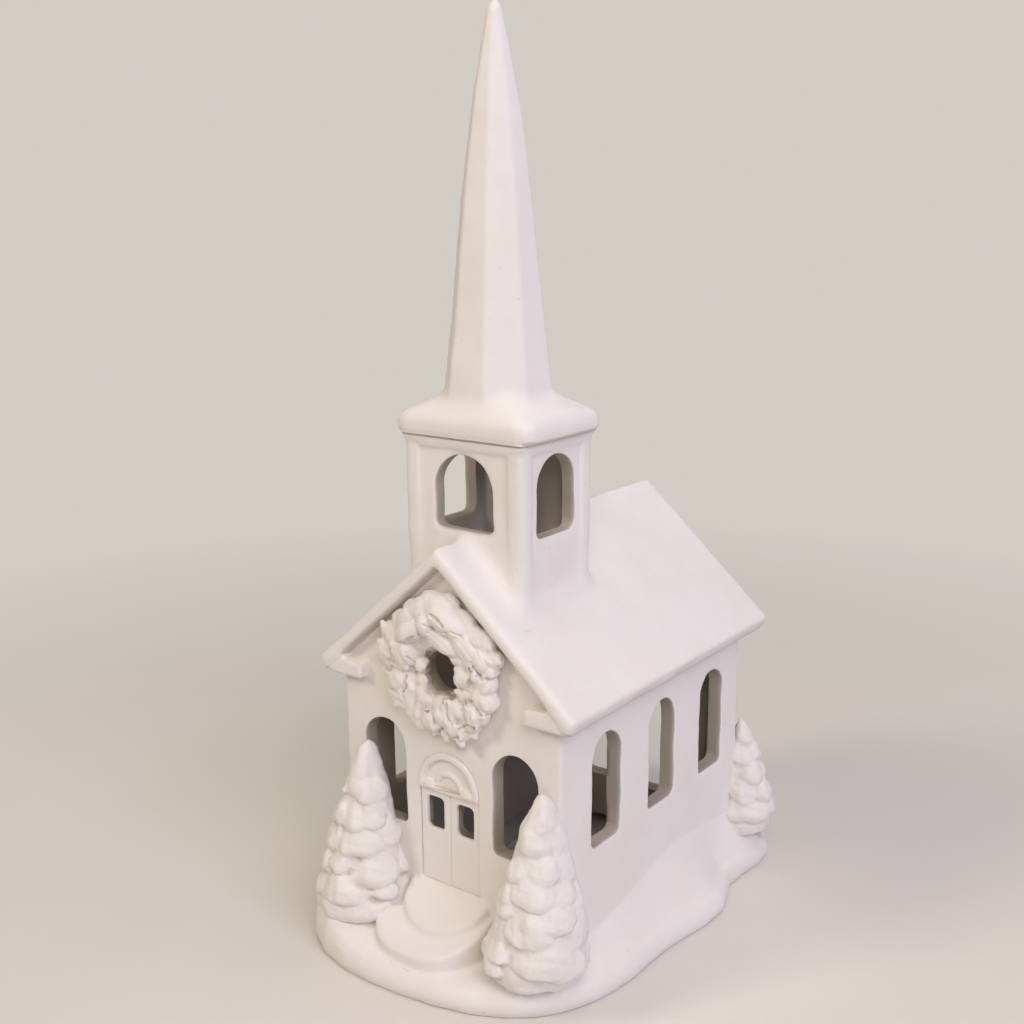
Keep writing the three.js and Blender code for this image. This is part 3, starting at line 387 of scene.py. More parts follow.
shaft = block("shaft", (-shaft_x, shaft_x), (TOWER_Y - shaft_y, TOWER_Y + shaft_y), (180, 195))
cut(lip, shaft, "DIFFERENCE")
cut(casting, lip, "DIFFERENCE")
for tool in (lip, shaft):
    bpy.data.objects.remove(tool)
at = points_of(casting.data)  # a sponged surface is never quite flat
lift = waver(at, 26 * MM, 11) * 0.10 + waver(at, 9 * MM, 12) * 0.05
at += normals_of(casting.data) * (lift * MM)[:, None]
at[:, 2] = np.maximum(at[:, 2], 0)
put_points(casting.data, at)
fewer_faces(casting, share=0.42)
print("casting:", len(casting.data.vertices), "vertices")

# %% [markdown]
# ## One piece for each part of the church
# The skin is cut back into the same named parts as the solids, so that each can be found, given
# its own finish or swapped. The cuts lie a little inside flat surfaces, so the joint can't be seen.
# Where the soft skin bulges past a cut, a thin loose film of it is left with the mound.

# %% Parting the casting
def half_oval(name, middle, half_width, depth, power, low):
    """A half oval in front of the door. Its underside has one height there, one at the nose."""
    def bowed(v):
        return math.copysign(abs(v) ** (2 / power), v)

    ring = [math.pi * (k + 0.5) / 40 for k in range(40)]
    nose = FACADE + 0.05
    outline = [(middle + half_width * bowed(math.cos(t)), nose - depth * bowed(math.sin(t)))
               for t in ring]
    made = prism(name, outline, 0, 60, axis=2)
    at = points_of(made.data)
    door_z, nose_z = low
    floor_z = door_z + (nose_z - door_z) * (FACADE * MM - at[:, 1]) / (depth * MM)
    at[:, 2] = np.where(at[:, 2] < 0.03, floor_z * MM, at[:, 2])
    put_points(made.data, at)
    return made


PROUD = 0.8  # how far a cutting block stands outside the wall, in millimetres
side_to_side = (-NAVE_HALF - PROUD, NAVE_HALF + PROUD)
pieces = {}
pieces["steeple"] = take("steeple", casting, block("tool", (-40, 40), (-80, 20), (189.7, 340)))
pieces["bell_tower"] = take(
    "bell_tower", casting, block("tool", (-30, 30), (TOWER_Y - 25.6, TOWER_Y + 25.6), (100, 195))
)
for side in (-1, 1):
    name = "gable_return_left" if side < 0 else "gable_return_right"
    outline = [(side * x, z) for x, z in (
        (35.2, 100.4), (53.4, 100.4), (53.4, roof_under(53.4) - 0.2), (45.6, 108.2), (35.2, 108.2),
    )]
    pieces[name] = take(name, casting, prism("tool", outline, -90, FACADE + 0.4, axis=1))
eave = 70
roof_outline = [(-eave, roof_under(eave) - 0.7), (0, roof_under(0) - 0.7),
                (eave, roof_under(eave) - 0.7), (eave, 200), (-eave, 200)]
pieces["roof"] = take("roof", casting, prism("tool", roof_outline, -90, 90, axis=1))
for name, x, y in (
    ("nave_front_wall", side_to_side, (FACADE - PROUD, FACADE + WALL)),
    ("nave_rear_wall", side_to_side, (NAVE_END - WALL, NAVE_END + PROUD)),
    ("nave_left_wall", (side_to_side[0], -30), (FACADE + WALL, NAVE_END - WALL)),
    ("nave_right_wall", (30, side_to_side[1]), (FACADE + WALL, NAVE_END - WALL)),
):
    pieces[name] = take(name, casting, block("tool", x, y, (9.9, 160)))
pieces["upper_step"] = take(
    "upper_step", casting, half_oval("tool", 0, 18.9, 15.7, 2, (24.8, 17.4))
)
pieces["lower_step"] = take(
    "lower_step", casting, half_oval("tool", -3, 24.6, 24.6, 2.4, (9, 6))
)
casting.name = "snow_mound"
pieces["snow_mound"] = casting
for name, piece in pieces.items():
    print(name, len(piece.data.polygons), "faces")

# %% [markdown]
# ## Windows cut with a knife
# On the real church each opening was cut with a knife once the clay had stiffened, so its edge is
# crisp while all the clay round it is soft. The easing rounds every opening of the skin, so each
# is cut once more here with an arched tool a third of a millimetre larger, as a potter would. The
# tool has rows of points along it, which let the painted brown shade of the inside start close to
# the edge.

# %% Knife-cut windows
SHAVING = 0.36  # how much the knife takes off all round
PANEL_DEPTH = 0.9  # how far the belfry's panels lie behind its corners


def arched(middle, half, sill, top, corner=2.6):
    """The outline of an arched opening, a little uneven, as a hand cuts it."""
    half, sill, top = half + SHAVING, sill - SHAVING, top + SHAVING
    foot = [(half - corner + corner * math.cos(t), sill + corner + corner * math.sin(t))
            for t in np.linspace(-math.pi / 2, 0, 6)]
    rise = [(half, z) for z in np.linspace(sill + corner, top - half, 6)[1:-1]]
    over = [(half * math.cos(t), top - half + half * math.sin(t))
            for t in np.linspace(0, math.pi, 25)]
    outline = foot + rise + over + [(-x, z) for x, z in (foot + rise)[::-1]]
    uneven = np.random.default_rng(int(10 * middle + 1000)).uniform(0, 6, 2)
    return [(middle + x + 0.16 * math.sin(0.33 * z + uneven[0]),
             z + 0.12 * math.sin(0.4 * x + uneven[1])) for x, z in outline]


def knife(name, outline, face, inward, axis):
    """Cuts an opening through a wall, from outside its face to 11 mm behind it."""
    rows = [face + inward * deep for deep in (-2, 0.12, 0.45, 1.0, 2.2, 4.5, 11)]
    tool = prism("tool", outline, rows[0], rows[-1], axis, between=rows[1:-1])
    cut(pieces[name], tool, "DIFFERENCE")
    bpy.data.objects.remove(tool)


for k in range(3):
    window = arched(FACADE + 28.2 + 37.3 * k, 8.8, 50.5, 90.7)
    knife("nave_right_wall", window, NAVE_HALF, -1, 0)
    knife("nave_left_wall", window, -NAVE_HALF, 1, 0)
for side in (-1, 1):
    knife("nave_front_wall", arched(side * 29.2, 9.4, 48.7, 86.8), FACADE, 1, 1)
    face = side * (TOWER_HALF_X - PANEL_DEPTH)
    knife("bell_tower", arched(TOWER_Y, 10.8, 157.0, 184.6, 3.2), face, -side, 0)
face = TOWER_Y - TOWER_HALF_Y + PANEL_DEPTH
knife("bell_tower", arched(0, 12.3, 158.8, 184.6, 3.2), face, 1, 1)
knife("nave_rear_wall", arched(0, 22, 25, 76), NAVE_END, -1, 1)
print("openings cut: 6 in the sides, 2 in front, 3 in the tower, 1 at the rear")

# %% [markdown]
# ## Evergreens
# Each tree is a stack of snow-laden boughs. A bough is a soft pillow that springs from the trunk,
# spreads as it comes down and ends in a blunt nose with a crease under it. A sphere could be
# scaled for it, but here its points are bent round the trunk, so that a wide bough wraps the tree.
# The boughs are laid tier by tier over a core and given one skin.

# %% Bough
def bough(tree, bearing, low, width, height, proud=1.1):
    """A pillow bent round the trunk: its top runs under the bough above, its nose hangs over."""
    across, out, rise = BALL.T
    front = np.sign(out) * np.abs(out) ** 0.7
    depth = min(0.34 * width, 5.0)
    level = low + height * np.where(rise > 0, 0.36 + 0.64 * rise, 0.36 + 0.36 * rise)
    waist = 1 - 0.34 * np.clip(rise, 0, 1) ** 1.5
    reach = np.interp(level, *tree["outline"])
    middle = max(float(np.interp(low + 0.36 * height, *tree["outline"])), 3.0)
    angle = math.radians(bearing) + across * waist * 0.5 * width / middle
    radius = np.maximum(reach + proud * (0.3 - 0.9 * rise) + depth * (front - 1), 0)
    lean = tree["lean"] * (level - tree["foot"]) / (tree["top"] - tree["foot"])
    spot = np.stack([
        tree["x"] + lean + radius * np.cos(angle), tree["y"] + radius * np.sin(angle), level,
    ], 1)
    return spot, BALL_FACES


def trunk(tree):
    """The core that fills the tree behind its boughs."""
    across, out, rise = BALL.T
    level = tree["foot"] + (tree["top"] - tree["foot"]) * (0.5 + 0.5 * rise)
    t = (level - tree["foot"]) / (tree["top"] - tree["foot"])
    flat = np.maximum(np.hypot(across, out), 1e-6)
    radius = 0.87 * np.interp(level, *tree["outline"]) * np.minimum(1, flat / 0.35)
    spot = np.stack([
        tree["x"] + tree["lean"] * t + radius * across / flat,
        tree["y"] + radius * out / flat, level,
    ], 1)
    return spot, BALL_FACES


print("a bough has", len(BALL_FACES), "faces")

# %% [markdown]
# ## The four trees
# The two in front follow the photograph bough by bough, so each bough has its own line. The one
# at the rear right is seen only in part and its fellow not at all, so those are laid in even tiers.
# A flat cut along the nave's wall gives each tree its seat.

# %% Trees
# A bough is (bearing from +X in degrees, height of its lower edge, width, height) in millimetres,
# and how far its nose stands out where that isn't the usual 1.1.
FRONT_OUTLINE = ([8, 13, 20, 30, 40, 50, 60, 70, 76, 79.4],
                 [15.5, 17.5, 18.6, 17.2, 14.8, 12.2, 9.4, 6.4, 4.0, 0.4])
REAR_OUTLINE = ([13, 19, 24, 32, 40, 48, 54, 58, 61.6],
                [11.4, 12.4, 12.8, 11.6, 9.8, 7.4, 5.2, 3.4, 0.4])
TREES = {
    "tree_front_right": dict(
        x=39.5, y=FACADE - 3, lean=3.5, foot=10, top=79.4, outline=FRONT_OUTLINE, boughs=[
            (-51, 66, 11, 14), (-80, 59, 24, 17), (30, 57, 20, 18, 0.5), (80, 56, 18, 16),
            (-114, 49.6, 11, 12), (-43, 49.8, 16, 14), (22, 47, 20, 18, 0.5), (75, 46, 20, 16),
            (-64, 41.8, 23, 15), (-122, 41, 11, 10), (48, 36, 26, 18, 0.5), (-2, 41.5, 15, 12, 0.5),
            (-120, 36.8, 14, 11), (-24, 33.4, 21, 14.5), (85, 30, 24, 18), (-68, 28.7, 23, 16),
            (24, 24, 26, 20, 0.5), (70, 20, 26, 18), (-40, 18.2, 31, 18), (-106, 21.8, 10, 8),
            (-126, 19.5, 10, 9), (-150, 17, 14, 13), (-118, 15.5, 14, 8), (0, 14, 28, 16, 0.6),
            (50, 13, 26, 14), (92, 14, 24, 14),
        ]),
    "tree_front_left": dict(
        x=-37, y=FACADE - 4.5, lean=3.5, foot=10, top=79.4, outline=FRONT_OUTLINE, boughs=[
            (-75, 66, 8, 13.6), (-101, 59.5, 10, 20), (-54, 57.5, 13, 14), (-17, 57.8, 12, 13),
            (-124, 59.6, 8, 9), (150, 57, 15, 17), (-78, 47.3, 14, 13), (-36, 48.4, 13, 12.5),
            (-118, 47.5, 12, 12), (130, 46, 17, 15), (-150, 46, 15, 14), (-65, 38.2, 25, 13.5),
            (4, 40.3, 12, 13), (-118, 38, 13, 13), (160, 36, 19, 15), (-148, 37, 15, 13),
            (-94, 31.5, 15, 11), (-34, 26.9, 25, 16), (-132, 28, 18, 14), (178, 26, 20, 15),
            (125, 26, 20, 15), (24, 28, 13, 12), (-84, 20.3, 28, 13.5), (-24, 22.3, 15, 8),
            (-132, 19, 20, 14), (172, 16, 22, 15), (130, 16, 22, 15), (20, 20, 13, 9),
            (-50, 13, 28, 12, 0.6), (-100, 12, 26, 12, 0.6), (-150, 12, 24, 12), (20, 14, 20, 12),
        ]),
    "tree_rear_right": dict(
        x=49.5, y=NAVE_END + 5.3, lean=-2.5, foot=13, top=61.6, outline=REAR_OUTLINE, boughs=[
            (-30, 51.7, 10, 14), (100, 50.7, 12, 14), (14, 44.4, 14, 12), (-62, 43.4, 14, 12),
            (90, 43.4, 15, 12), (-28, 36.4, 16, 12), (40, 36.4, 16, 12), (115, 35.4, 17, 12),
            (-58, 28.1, 17, 13), (4, 28.1, 17, 13), (66, 27.1, 18, 13), (-30, 19.7, 20, 14),
            (30, 19.7, 20, 14), (88, 18.7, 20, 14), (-78, 20.1, 16, 13), (140, 18.7, 18, 14),
        ]),
    "tree_rear_left": dict(
        x=-49.5, y=NAVE_END + 5.3, lean=2, foot=13, top=61.6, outline=REAR_OUTLINE, boughs=[
            (-150, 51.7, 10, 14), (80, 50.7, 12, 14), (166, 44.4, 14, 12), (-118, 43.4, 14, 12),
            (95, 43.4, 15, 12), (-160, 36.4, 16, 12), (130, 36.4, 16, 12), (68, 35.4, 17, 12),
            (-122, 28.1, 17, 13), (172, 28.1, 17, 13), (112, 27.1, 18, 13), (-150, 19.7, 20, 14),
            (150, 19.7, 20, 14), (92, 18.7, 20, 14), (-104, 20.1, 16, 13), (40, 18.7, 18, 14),
        ]),
}
nave_outline = [(-NAVE_HALF + 0.6, FACADE + 0.6), (NAVE_HALF - 0.6, FACADE + 0.6),
                (NAVE_HALF - 0.6, NAVE_END - 0.6), (-NAVE_HALF + 0.6, NAVE_END - 0.6)]
for name, tree in TREES.items():
    stack = [bough(tree, *each) for each in tree["boughs"]] + [trunk(tree)]
    piece = even_skin(mesh_of(name + "_skin", stack), (0.5) * MM)
    ease(piece.data, 4, 0.7)
    roughen(piece.data, ((13, 0.5), (5, 0.2), (2.3, 0.07)), 31)
    cut(piece, prism("tool", nave_outline, 4, 120, axis=2), "DIFFERENCE")
    bpy.data.objects.remove(bpy.data.objects["tool"])
    pieces[name] = piece
    print(name, len(piece.data.polygons), "faces")

# %% [markdown]
# ## Wreath and bow
# On the real church the wreath was pressed by hand: a fat ring of clay with clusters of small
# rounded leaves pushed on to it, and a broad ribbon bow draped over its top. Each leaf could be a
# separate mesh, but clay leaves melt into each other, so lumps of many sizes are laid on the ring
# and given one fine skin. The bow's loops are pillows, each opened by a thin curved slit.

# %% Lumps of clay
def lump(x, z, proud, length, width, depth, turn):
    """A rounded lump, placed from the wreath's middle and standing off the facade."""
    c, s = math.cos(math.radians(turn)), math.sin(math.radians(turn))
    along, out, up = BALL.T * np.array([[length], [depth], [width]])
    spot = np.stack([
        WREATH_X + x + along * c - up * s, FACADE - proud + out, WREATH_Z + z + along * s + up * c,
    ], 1)
    return spot, BALL_FACES


def front_of(shapes, x, z):
    """How far the clay stands off the wall at a point, over a list of lumps."""
    best = 0.5
    for middle_x, middle_z, proud, length, width, depth, turn in shapes:
        c, s = math.cos(math.radians(turn)), math.sin(math.radians(turn))
        u = ((x - middle_x) * c + (z - middle_z) * s) / length
        v = ((z - middle_z) * c - (x - middle_x) * s) / width
        if u * u + v * v < 1:
            best = max(best, proud + depth * math.sqrt(1 - u * u - v * v))
    return best


def band(shapes, route, width, depth, above):
    """Lumps strung along a route, each set a little above or below the clay's own face."""
    stops = np.array(route, float)
    spread = np.linspace(0, len(stops) - 1, 7 * (len(stops) - 1) + 1)
    line = [(np.interp(spread, range(len(stops)), stops[:, k])) for k in (0, 1)]
    return [lump(x, z, front_of(shapes, x, z) + above, width, width, depth, 0)
            for x, z in zip(*line)]


def skin_of(name, parts, size):
    return even_skin(mesh_of(name, parts), size)


def groove(thing, shapes, route, width=0.6, depth=1.6, above=0.7):
    """Presses a narrow furrow into the clay along a route."""
    tool = skin_of("tool", band(shapes, route, width, depth, above), 0.35 * MM)
    cut(thing, tool, "DIFFERENCE")
    bpy.data.objects.remove(tool)


print("lump, band and groove are ready")

# %% Clusters of leaves
# Each cluster is (x, z, size, how far it stands off the wall, leaves), from the wreath's middle.
CLUSTERS = [
    (-23.0, 4.2, 5.0, 4.8, 6), (-13.4, 6.0, 5.8, 7.0, 5), (-19.0, 11.0, 5.4, 4.8, 3),
    (-17.2, -5.2, 5.6, 5.6, 4), (-17.8, -10.8, 4.2, 4.8, 8), (-12.0, -6.4, 3.6, 4.6, 6),
    (-9.2, -15.4, 5.4, 5.0, 8), (-5.0, -9.0, 5.2, 5.2, 2), (-13.0, -11.6, 2.8, 4.4, 5),
    (-1.4, -16.2, 5.0, 6.2, 9), (2.0, -9.8, 4.6, 5.2, 2), (5.0, -13.8, 4.8, 6.4, 7),
    (3.8, -19.4, 3.6, 4.6, 6), (9.8, -10.0, 4.6, 6.2, 6), (10.4, -17.4, 4.6, 6.2, 7),
    (15.2, -15.0, 3.2, 5.0, 6), (17.6, -9.8, 5.2, 6.8, 9), (21.4, -4.4, 4.8, 6.2, 6),
    (21.0, 1.6, 4.8, 5.6, 3), (12.6, 1.6, 4.4, 5.8, 3), (13.6, -4.4, 3.4, 5.6, 4),
    (22.6, 6.6, 3.6, 4.8, 5), (20.4, 11.0, 4.6, 5.0, 4), (15.0, 8.6, 4.0, 5.2, 3),
    (16.6, 16.0, 5.0, 4.6, 3), (11.4, 20.4, 5.2, 4.0, 1), (9.6, 8.6, 3.4, 5.2, 2),
    (-15.4, 16.0, 5.2, 4.4, 2), (-9.6, 20.6, 5.4, 4.2, 1), (-2.8, 24.6, 5.4, 3.8, 0),
    (4.6, 24.8, 5.4, 3.6, 0), (-7.0, 1.8, 3.4, 4.6, 2), (-6.6, -3.6, 3.0, 4.0, 2),
    (20.0, 15.4, 4.8, 4.2, 2), (24.2, 10.2, 3.8, 4.2, 2), (-21.0, 11.0, 4.4, 4.0, 2),
]
print(len(CLUSTERS), "clusters,", sum((c[4] + 1) // 2 for c in CLUSTERS), "leaves")

# %% [markdown]
# ## The hole
# A knife went through the wreath and the wall in one go, from the front, and left a ragged hole
# that opens out inwards. One tool for the wreath, the wall and the bow keeps their edges in line.

# %% Hole through the wreath
HOLE_CORNERS = [(-3.6, 1.0), (-2.9, 4.8), (0.6, 7.0), (8.2, 6.5), (8.8, -1.3), (4.7, -4.8),
                (-1.2, -1.8)]
HOLE_MIDDLE = (WREATH_X + 2.6, WREATH_Z + 1.2)


def flared(outline, wider, middle, front, rear):
    """A tool with a true outline in front that has widened about its middle at the rear."""
    made = prism("tool", outline, front, rear, axis=1)
    at = points_of(made.data)
    behind = at[:, 1] > (front + rear) / 2 * MM
    for column, centre in ((0, middle[0]), (2, middle[1])):
        at[behind, column] = (centre + (at[behind, column] / MM - centre) * wider) * MM
    put_points(made.data, at)
    return made


def cut_wreath_hole(thing):
    """The ragged hole that a knife left: straight through the clay, then opening out inwards."""
    outline = [(WREATH_X + x, WREATH_Z + z) for x, z in HOLE_CORNERS]
    for wider, front, rear in ((1.0, FACADE - 14, FACADE - 4.9), (1.75, FACADE - 5, FACADE + 9)):
        tool = flared(outline, wider, HOLE_MIDDLE, front, rear)
        cut(thing, tool, "DIFFERENCE")
        bpy.data.objects.remove(tool)


print("hole of", len(HOLE_CORNERS), "corners round", HOLE_MIDDLE)

# %% [markdown]
# ## The wreath's clay
# A ring, a body for each cluster and flat leaves on it. The main folds are pressed in as furrows
# before the whole is eased, so that they stay dark but lose their hard edges.

# %% Wreath
draw = np.random.default_rng(20)
bodies = [(16.0 * math.cos(t), 15.6 * math.sin(t), 0.8, 7.6, 7.2, 4.4, math.degrees(t))
          for t in np.linspace(0, 2 * math.pi, 26, endpoint=False)]
bodies += [(x, z, 0.5 * proud, size, 0.94 * size, 0.66 * proud, 0)
           for x, z, size, proud, _ in CLUSTERS]
clay = [lump(*each) for each in bodies]
for x, z, size, _, leaves in CLUSTERS:
    laid = (leaves + 1) // 2
    for k in range(laid):
        round_it = 2.4 * k + draw.uniform(-0.5, 0.5)
        off = 0.9 * size * math.sqrt((k + 0.5) / laid)
        leaf_x, leaf_z = x + off * math.cos(round_it), z + off * math.sin(round_it)
        length = draw.uniform(2.0, 3.2)
        clay.append(lump(
            leaf_x, leaf_z, front_of(bodies, leaf_x, leaf_z) - 0.35, length,
            length * draw.uniform(0.5, 0.7), draw.uniform(0.8, 1.05),
            math.degrees(math.atan2(leaf_z, leaf_x)) + draw.uniform(-45, 45),
        ))
clay.append(lump(19.0, 4.4, 6.2, 2.2, 1.3, 1.7, 84))
fine = 0.4 * MM
wreath = skin_of("wreath_skin", clay, fine)
FURROW_DEPTH = 1.4
for route, width in (
    ([(-27, -1.0), (-22, -2.0), (-18.4, -0.6), (-14, -1.2), (-9.5, -0.6), (-6, -0.4)], 1.0),
    ([(15.0, -2.0), (14.4, -6.6), (15.0, -9.4), (14.6, -12.4)], 0.7),
    ([(12.4, -15.6), (15.8, -13.4), (19.0, -13.4)], 0.7),
    ([(-2.4, -12.8), (0.6, -13.0), (1.4, -16.4)], 0.5),
    ([(-3.4, -19.6), (1.0, -20.2), (4.4, -17.6), (8.4, -20.4), (12.0, -18.6)], 0.6),
    ([(-12.6, -2.6), (-12.4, -6.0), (-13.8, -8.6)], 0.6),
    ([(-22, -8.0), (-19.4, -9.0), (-16.6, -7.8)], 0.5),
    ([(-9.8, 5.6), (-8.4, 3.2), (-8.2, 0.8)], 0.5),
    ([(-20, 7.4), (-17.6, 5.0), (-17.8, 1.0)], 0.6),
    ([(16.4, 6.6), (16.8, 2.6), (15.4, -0.6)], 0.7),
    ([(18.4, 7.6), (21.6, 3.8), (25.4, 4.4)], 0.9),
    ([(18.2, -4.6), (20.8, -7.6), (22.8, -8.8)], 0.6),
    ([(7.2, -7.6), (6.8, -10.4), (8.6, -13.4)], 0.5),
):
    groove(wreath, bodies, route, width, FURROW_DEPTH)
cut_wreath_hole(wreath)
cut_wreath_hole(pieces["nave_front_wall"])
wall_side = prism("tool", [(-40, 60), (40, 60), (40, 160), (-40, 160)], FACADE + 0.5, -40, axis=1)
cut(wreath, wall_side, "DIFFERENCE")
ease(wreath.data, 6, 0.6)
roughen(wreath.data, ((6, 0.16), (2.6, 0.08), (1.3, 0.03)), 51)
pieces["wreath"] = wreath
print("wreath:", len(CLUSTERS), "clusters,", len(wreath.data.polygons), "faces")

# %% [markdown]
# ## The bow
# A broad ribbon, laid over the wreath's top and down its right side. Its loops are cushions, and
# two open slits and some long shallow folds make them read as ribbon.

# %% Bow
cushions = [
    (-9.4, 14.4, 4.8, 7.6, 4.2, 4.4, 27), (-11.0, 18.8, 3.4, 7.2, 4.2, 3.6, 34),
    (-5.6, 22.6, 3.2, 6.6, 4.6, 3.8, 36), (1.4, 24.8, 3.0, 8.4, 4.6, 3.8, -8),
    (6.4, 20.6, 4.8, 8.6, 4.8, 4.4, -20), (-1.8, 18.2, 5.4, 4.4, 3.6, 3.8, 95),
    (4.6, 13.8, 4.4, 8.6, 4.0, 4.0, -26), (13.2, 14.0, 3.8, 8.6, 4.6, 3.8, -48),
    (20.0, 9.8, 3.6, 5.8, 3.8, 3.2, -55),
]
bow = skin_of("bow_skin", [lump(*each) for each in cushions], fine)
for route, width, depth in (
    ([(-15.2, 9.0), (-11.2, 10.7), (-8.4, 12.4), (-6.0, 13.9)], 0.8, 1.6),
    ([(1.6, 22.9), (3.8, 22.7), (5.8, 21.8), (7.4, 20.5)], 1.0, 2.2),
    ([(-0.8, 19.4), (2.0, 17.9), (5.6, 17.4), (9.2, 18.2)], 0.8, 1.3),
    ([(10.6, 18.9), (12.6, 18.1), (14.4, 17.2)], 0.8, 1.2),
    ([(-4.2, 21.4), (-3.6, 18.2), (-3.8, 14.8)], 0.8, 1.2),
    ([(0.2, 16.6), (3.6, 15.4), (7.4, 13.4), (10.0, 11.2)], 0.8, 0.95),
    ([(0.0, 14.2), (3.4, 13.0), (6.8, 11.0)], 0.8, 0.95),
    ([(8.6, 16.4), (11.8, 14.6), (14.0, 11.4), (15.4, 8.6)], 0.8, 1.0),
    ([(16.6, 17.0), (19.6, 13.4), (22.0, 10.0)], 0.8, 0.95),
    ([(12.6, 16.4), (15.8, 13.6), (18.2, 10.0), (20.0, 7.6)], 0.8, 0.95),
    ([(-13.2, 17.2), (-9.6, 18.4), (-6.4, 20.2)], 0.7, 0.9),
):
    groove(bow, cushions, route, width, depth)
cut(bow, wall_side, "DIFFERENCE")
bpy.data.objects.remove(wall_side)
cut_wreath_hole(bow)
ease(bow.data, 8, 0.6)
roughen(bow.data, ((7, 0.2), (3, 0.06)), 61)
pieces["wreath_bow"] = bow
print("bow:", len(bow.data.polygons), "faces")

# %% [markdown]
# ## Doors
# The leaves and the fanlight are thin pressed sheets of clay in the niche. Their solids are true
# already, so each only needs a fine skin and a little easing, which keeps its frame readable. The
# fanlight also gets a raised ground behind its ring, two pads of snow and a straight lintel.

# %% Door skins
for x0, x1 in ((-12.2, -1.4), (1.4, 12.2)):
    pane = [(x0, 46.5), (x1, 46.5), (x1, 64.6), (x0, 64.6)]
    recess = prism("tool", pane, FACADE + 2.7, FACADE + 9, axis=1)
    cut(pieces["nave_front_wall"], recess, "DIFFERENCE")
    bpy.data.objects.remove(recess)
lintel = prism("lintel", [(-13.2, 65.2), (13.2, 65.2), (13.2, 67.4), (-13.2, 67.4)],
               FACADE - 0.5, FACADE + 2.2, axis=1)
GROUND_RADIUS, ARCH_Z = 11.8, 67.7
half_disc = [(GROUND_RADIUS * math.cos(t), ARCH_Z + GROUND_RADIUS * math.sin(t))
             for t in np.linspace(0, math.pi, 25)]
ground = prism("ground", half_disc, FACADE + 0.5, FACADE + 2.2, axis=1)
for name, rounds, swell in (
    ("door_leaf_left", 3, 0.17), ("door_leaf_right", 3, 0.17), ("door_fanlight", 8, 0.4),
):
    whole = joined_copy(name + "_skin", [name])
    if name == "door_fanlight":
        pads = mesh_of("pads", [
            (BALL * (4.9, 1.5, 2.5) + (side * 7.4, FACADE + 0.5, 69.4), BALL_FACES)
            for side in (-1, 1)
        ])
        for extra in (ground, pads):
            cut(whole, extra, "UNION")
            bpy.data.objects.remove(extra)
    piece = even_skin(whole, (0.3) * MM)
    ease(piece.data, rounds, 0.5)
    put_points(piece.data, points_of(piece.data) + normals_of(piece.data) * swell * MM)
    if name == "door_fanlight":
        cut(piece, lintel, "UNION")
        bpy.data.objects.remove(lintel)
    pieces[name] = piece
    print(name, len(piece.data.polygons), "faces")

# %% [markdown]
# ## Bisque
# Unglazed white clay: matt, slightly warm, with a fine tooth, faint cloudiness and a few specks.
# Shade is painted into the colour: darker in the creases and under the overhangs, brown inside, in
# recesses and on the sides of the wreath's hole. Two vertex values carry that painted shade: how
# deep in a crease a point lies, and how far it lies behind the outer faces. A painted picture could
# hold them too, but values on the mesh need no unwrapping and follow the shape.

# %% Painted shade in the creases and the inside
def mark(piece, name, values):
    layer = piece.data.attributes.new(name, "FLOAT", "POINT")
    layer.data.foreach_set("value", values.astype(np.float32))


def hollows(mesh, reach):
    """How deep each point lies below the skin around it: 0 on flats and ridges, 1 in a crease."""
    at, ends = points_of(mesh), edges_of(mesh)
    count = np.maximum(np.bincount(ends.ravel(), minlength=len(at)), 1)
    far = at
    for _ in range(reach):
        far = neighbour_mean(far, ends, count)
    depth = np.einsum("ij,ij->i", far - at, normals_of(mesh))
    a, b = ends
    step = np.median(np.linalg.norm(at[a] - at[b], axis=1))
    deep = np.clip(depth / (0.5 * step * math.sqrt(reach)), 0, 1)
    return neighbour_mean(deep, ends, count)


def indoor_shade(at):
    """How far a point lies behind the outer faces of the nave or the tower, from 0 to 1; painted
    brown shade follows it.
    """
    x, y, z = at.T / MM
    nave = np.minimum.reduce([NAVE_HALF - np.abs(x), y - FACADE, NAVE_END - y,
                              (roof_under(x) - z) + 4])
    tower = np.minimum.reduce([TOWER_HALF_X - PANEL_DEPTH - np.abs(x),
                               TOWER_HALF_Y - PANEL_DEPTH - np.abs(y - TOWER_Y),
                               194 - z, z - 110])
    depth = np.clip((np.maximum(nave, tower) - 0.3) / 1.1, 0, 1)
    doorway = (np.abs(x) < 16) & (z < 84) & (y < FACADE + 8)
    return np.where(doorway, np.clip((y - FACADE - 1.8) / 1.2, 0, 1), depth)


def hole_side(at, normals):
    """1 on the sides of the hole through the wreath, 0 elsewhere; painted brown shade follows it."""
    x, y, z = at.T / MM
    across, up = HOLE_MIDDLE[0] - x, HOLE_MIDDLE[1] - z
    far = np.maximum(np.hypot(across, up), 0.1)
    facing = (normals[:, 0] * across + normals[:, 2] * up) / far
    return (far < 10) * np.clip(facing * 2 - 0.6, 0, 1) * np.clip((y - FACADE + 8.5) / 3, 0, 1)


for name, piece in pieces.items():
    # Painted shade in the creases, darker the deeper a point lies.
    crease_shade = hollows(piece.data, 5)
    # The undersides of the roof and of the cap's overhang get painted shade too.
    if name in ("roof", "steeple"):
        crease_shade = np.maximum(crease_shade, 0.9 * np.clip(-normals_of(piece.data)[:, 2] * 2 - 0.4, 0, 1))
    # Painted brown shade on the inside, in the door's recesses and on the sides of the wreath's
    # hole.
    inside = indoor_shade(points_of(piece.data))
    if name in ("nave_front_wall", "wreath", "wreath_bow"):
        sides_of_hole = hole_side(points_of(piece.data), normals_of(piece.data))
        inside = np.maximum(inside, sides_of_hole)
    mark(piece, "crease_shade", crease_shade)
    mark(piece, "indoor_shade", inside)
print("marked", len(pieces), "pieces")

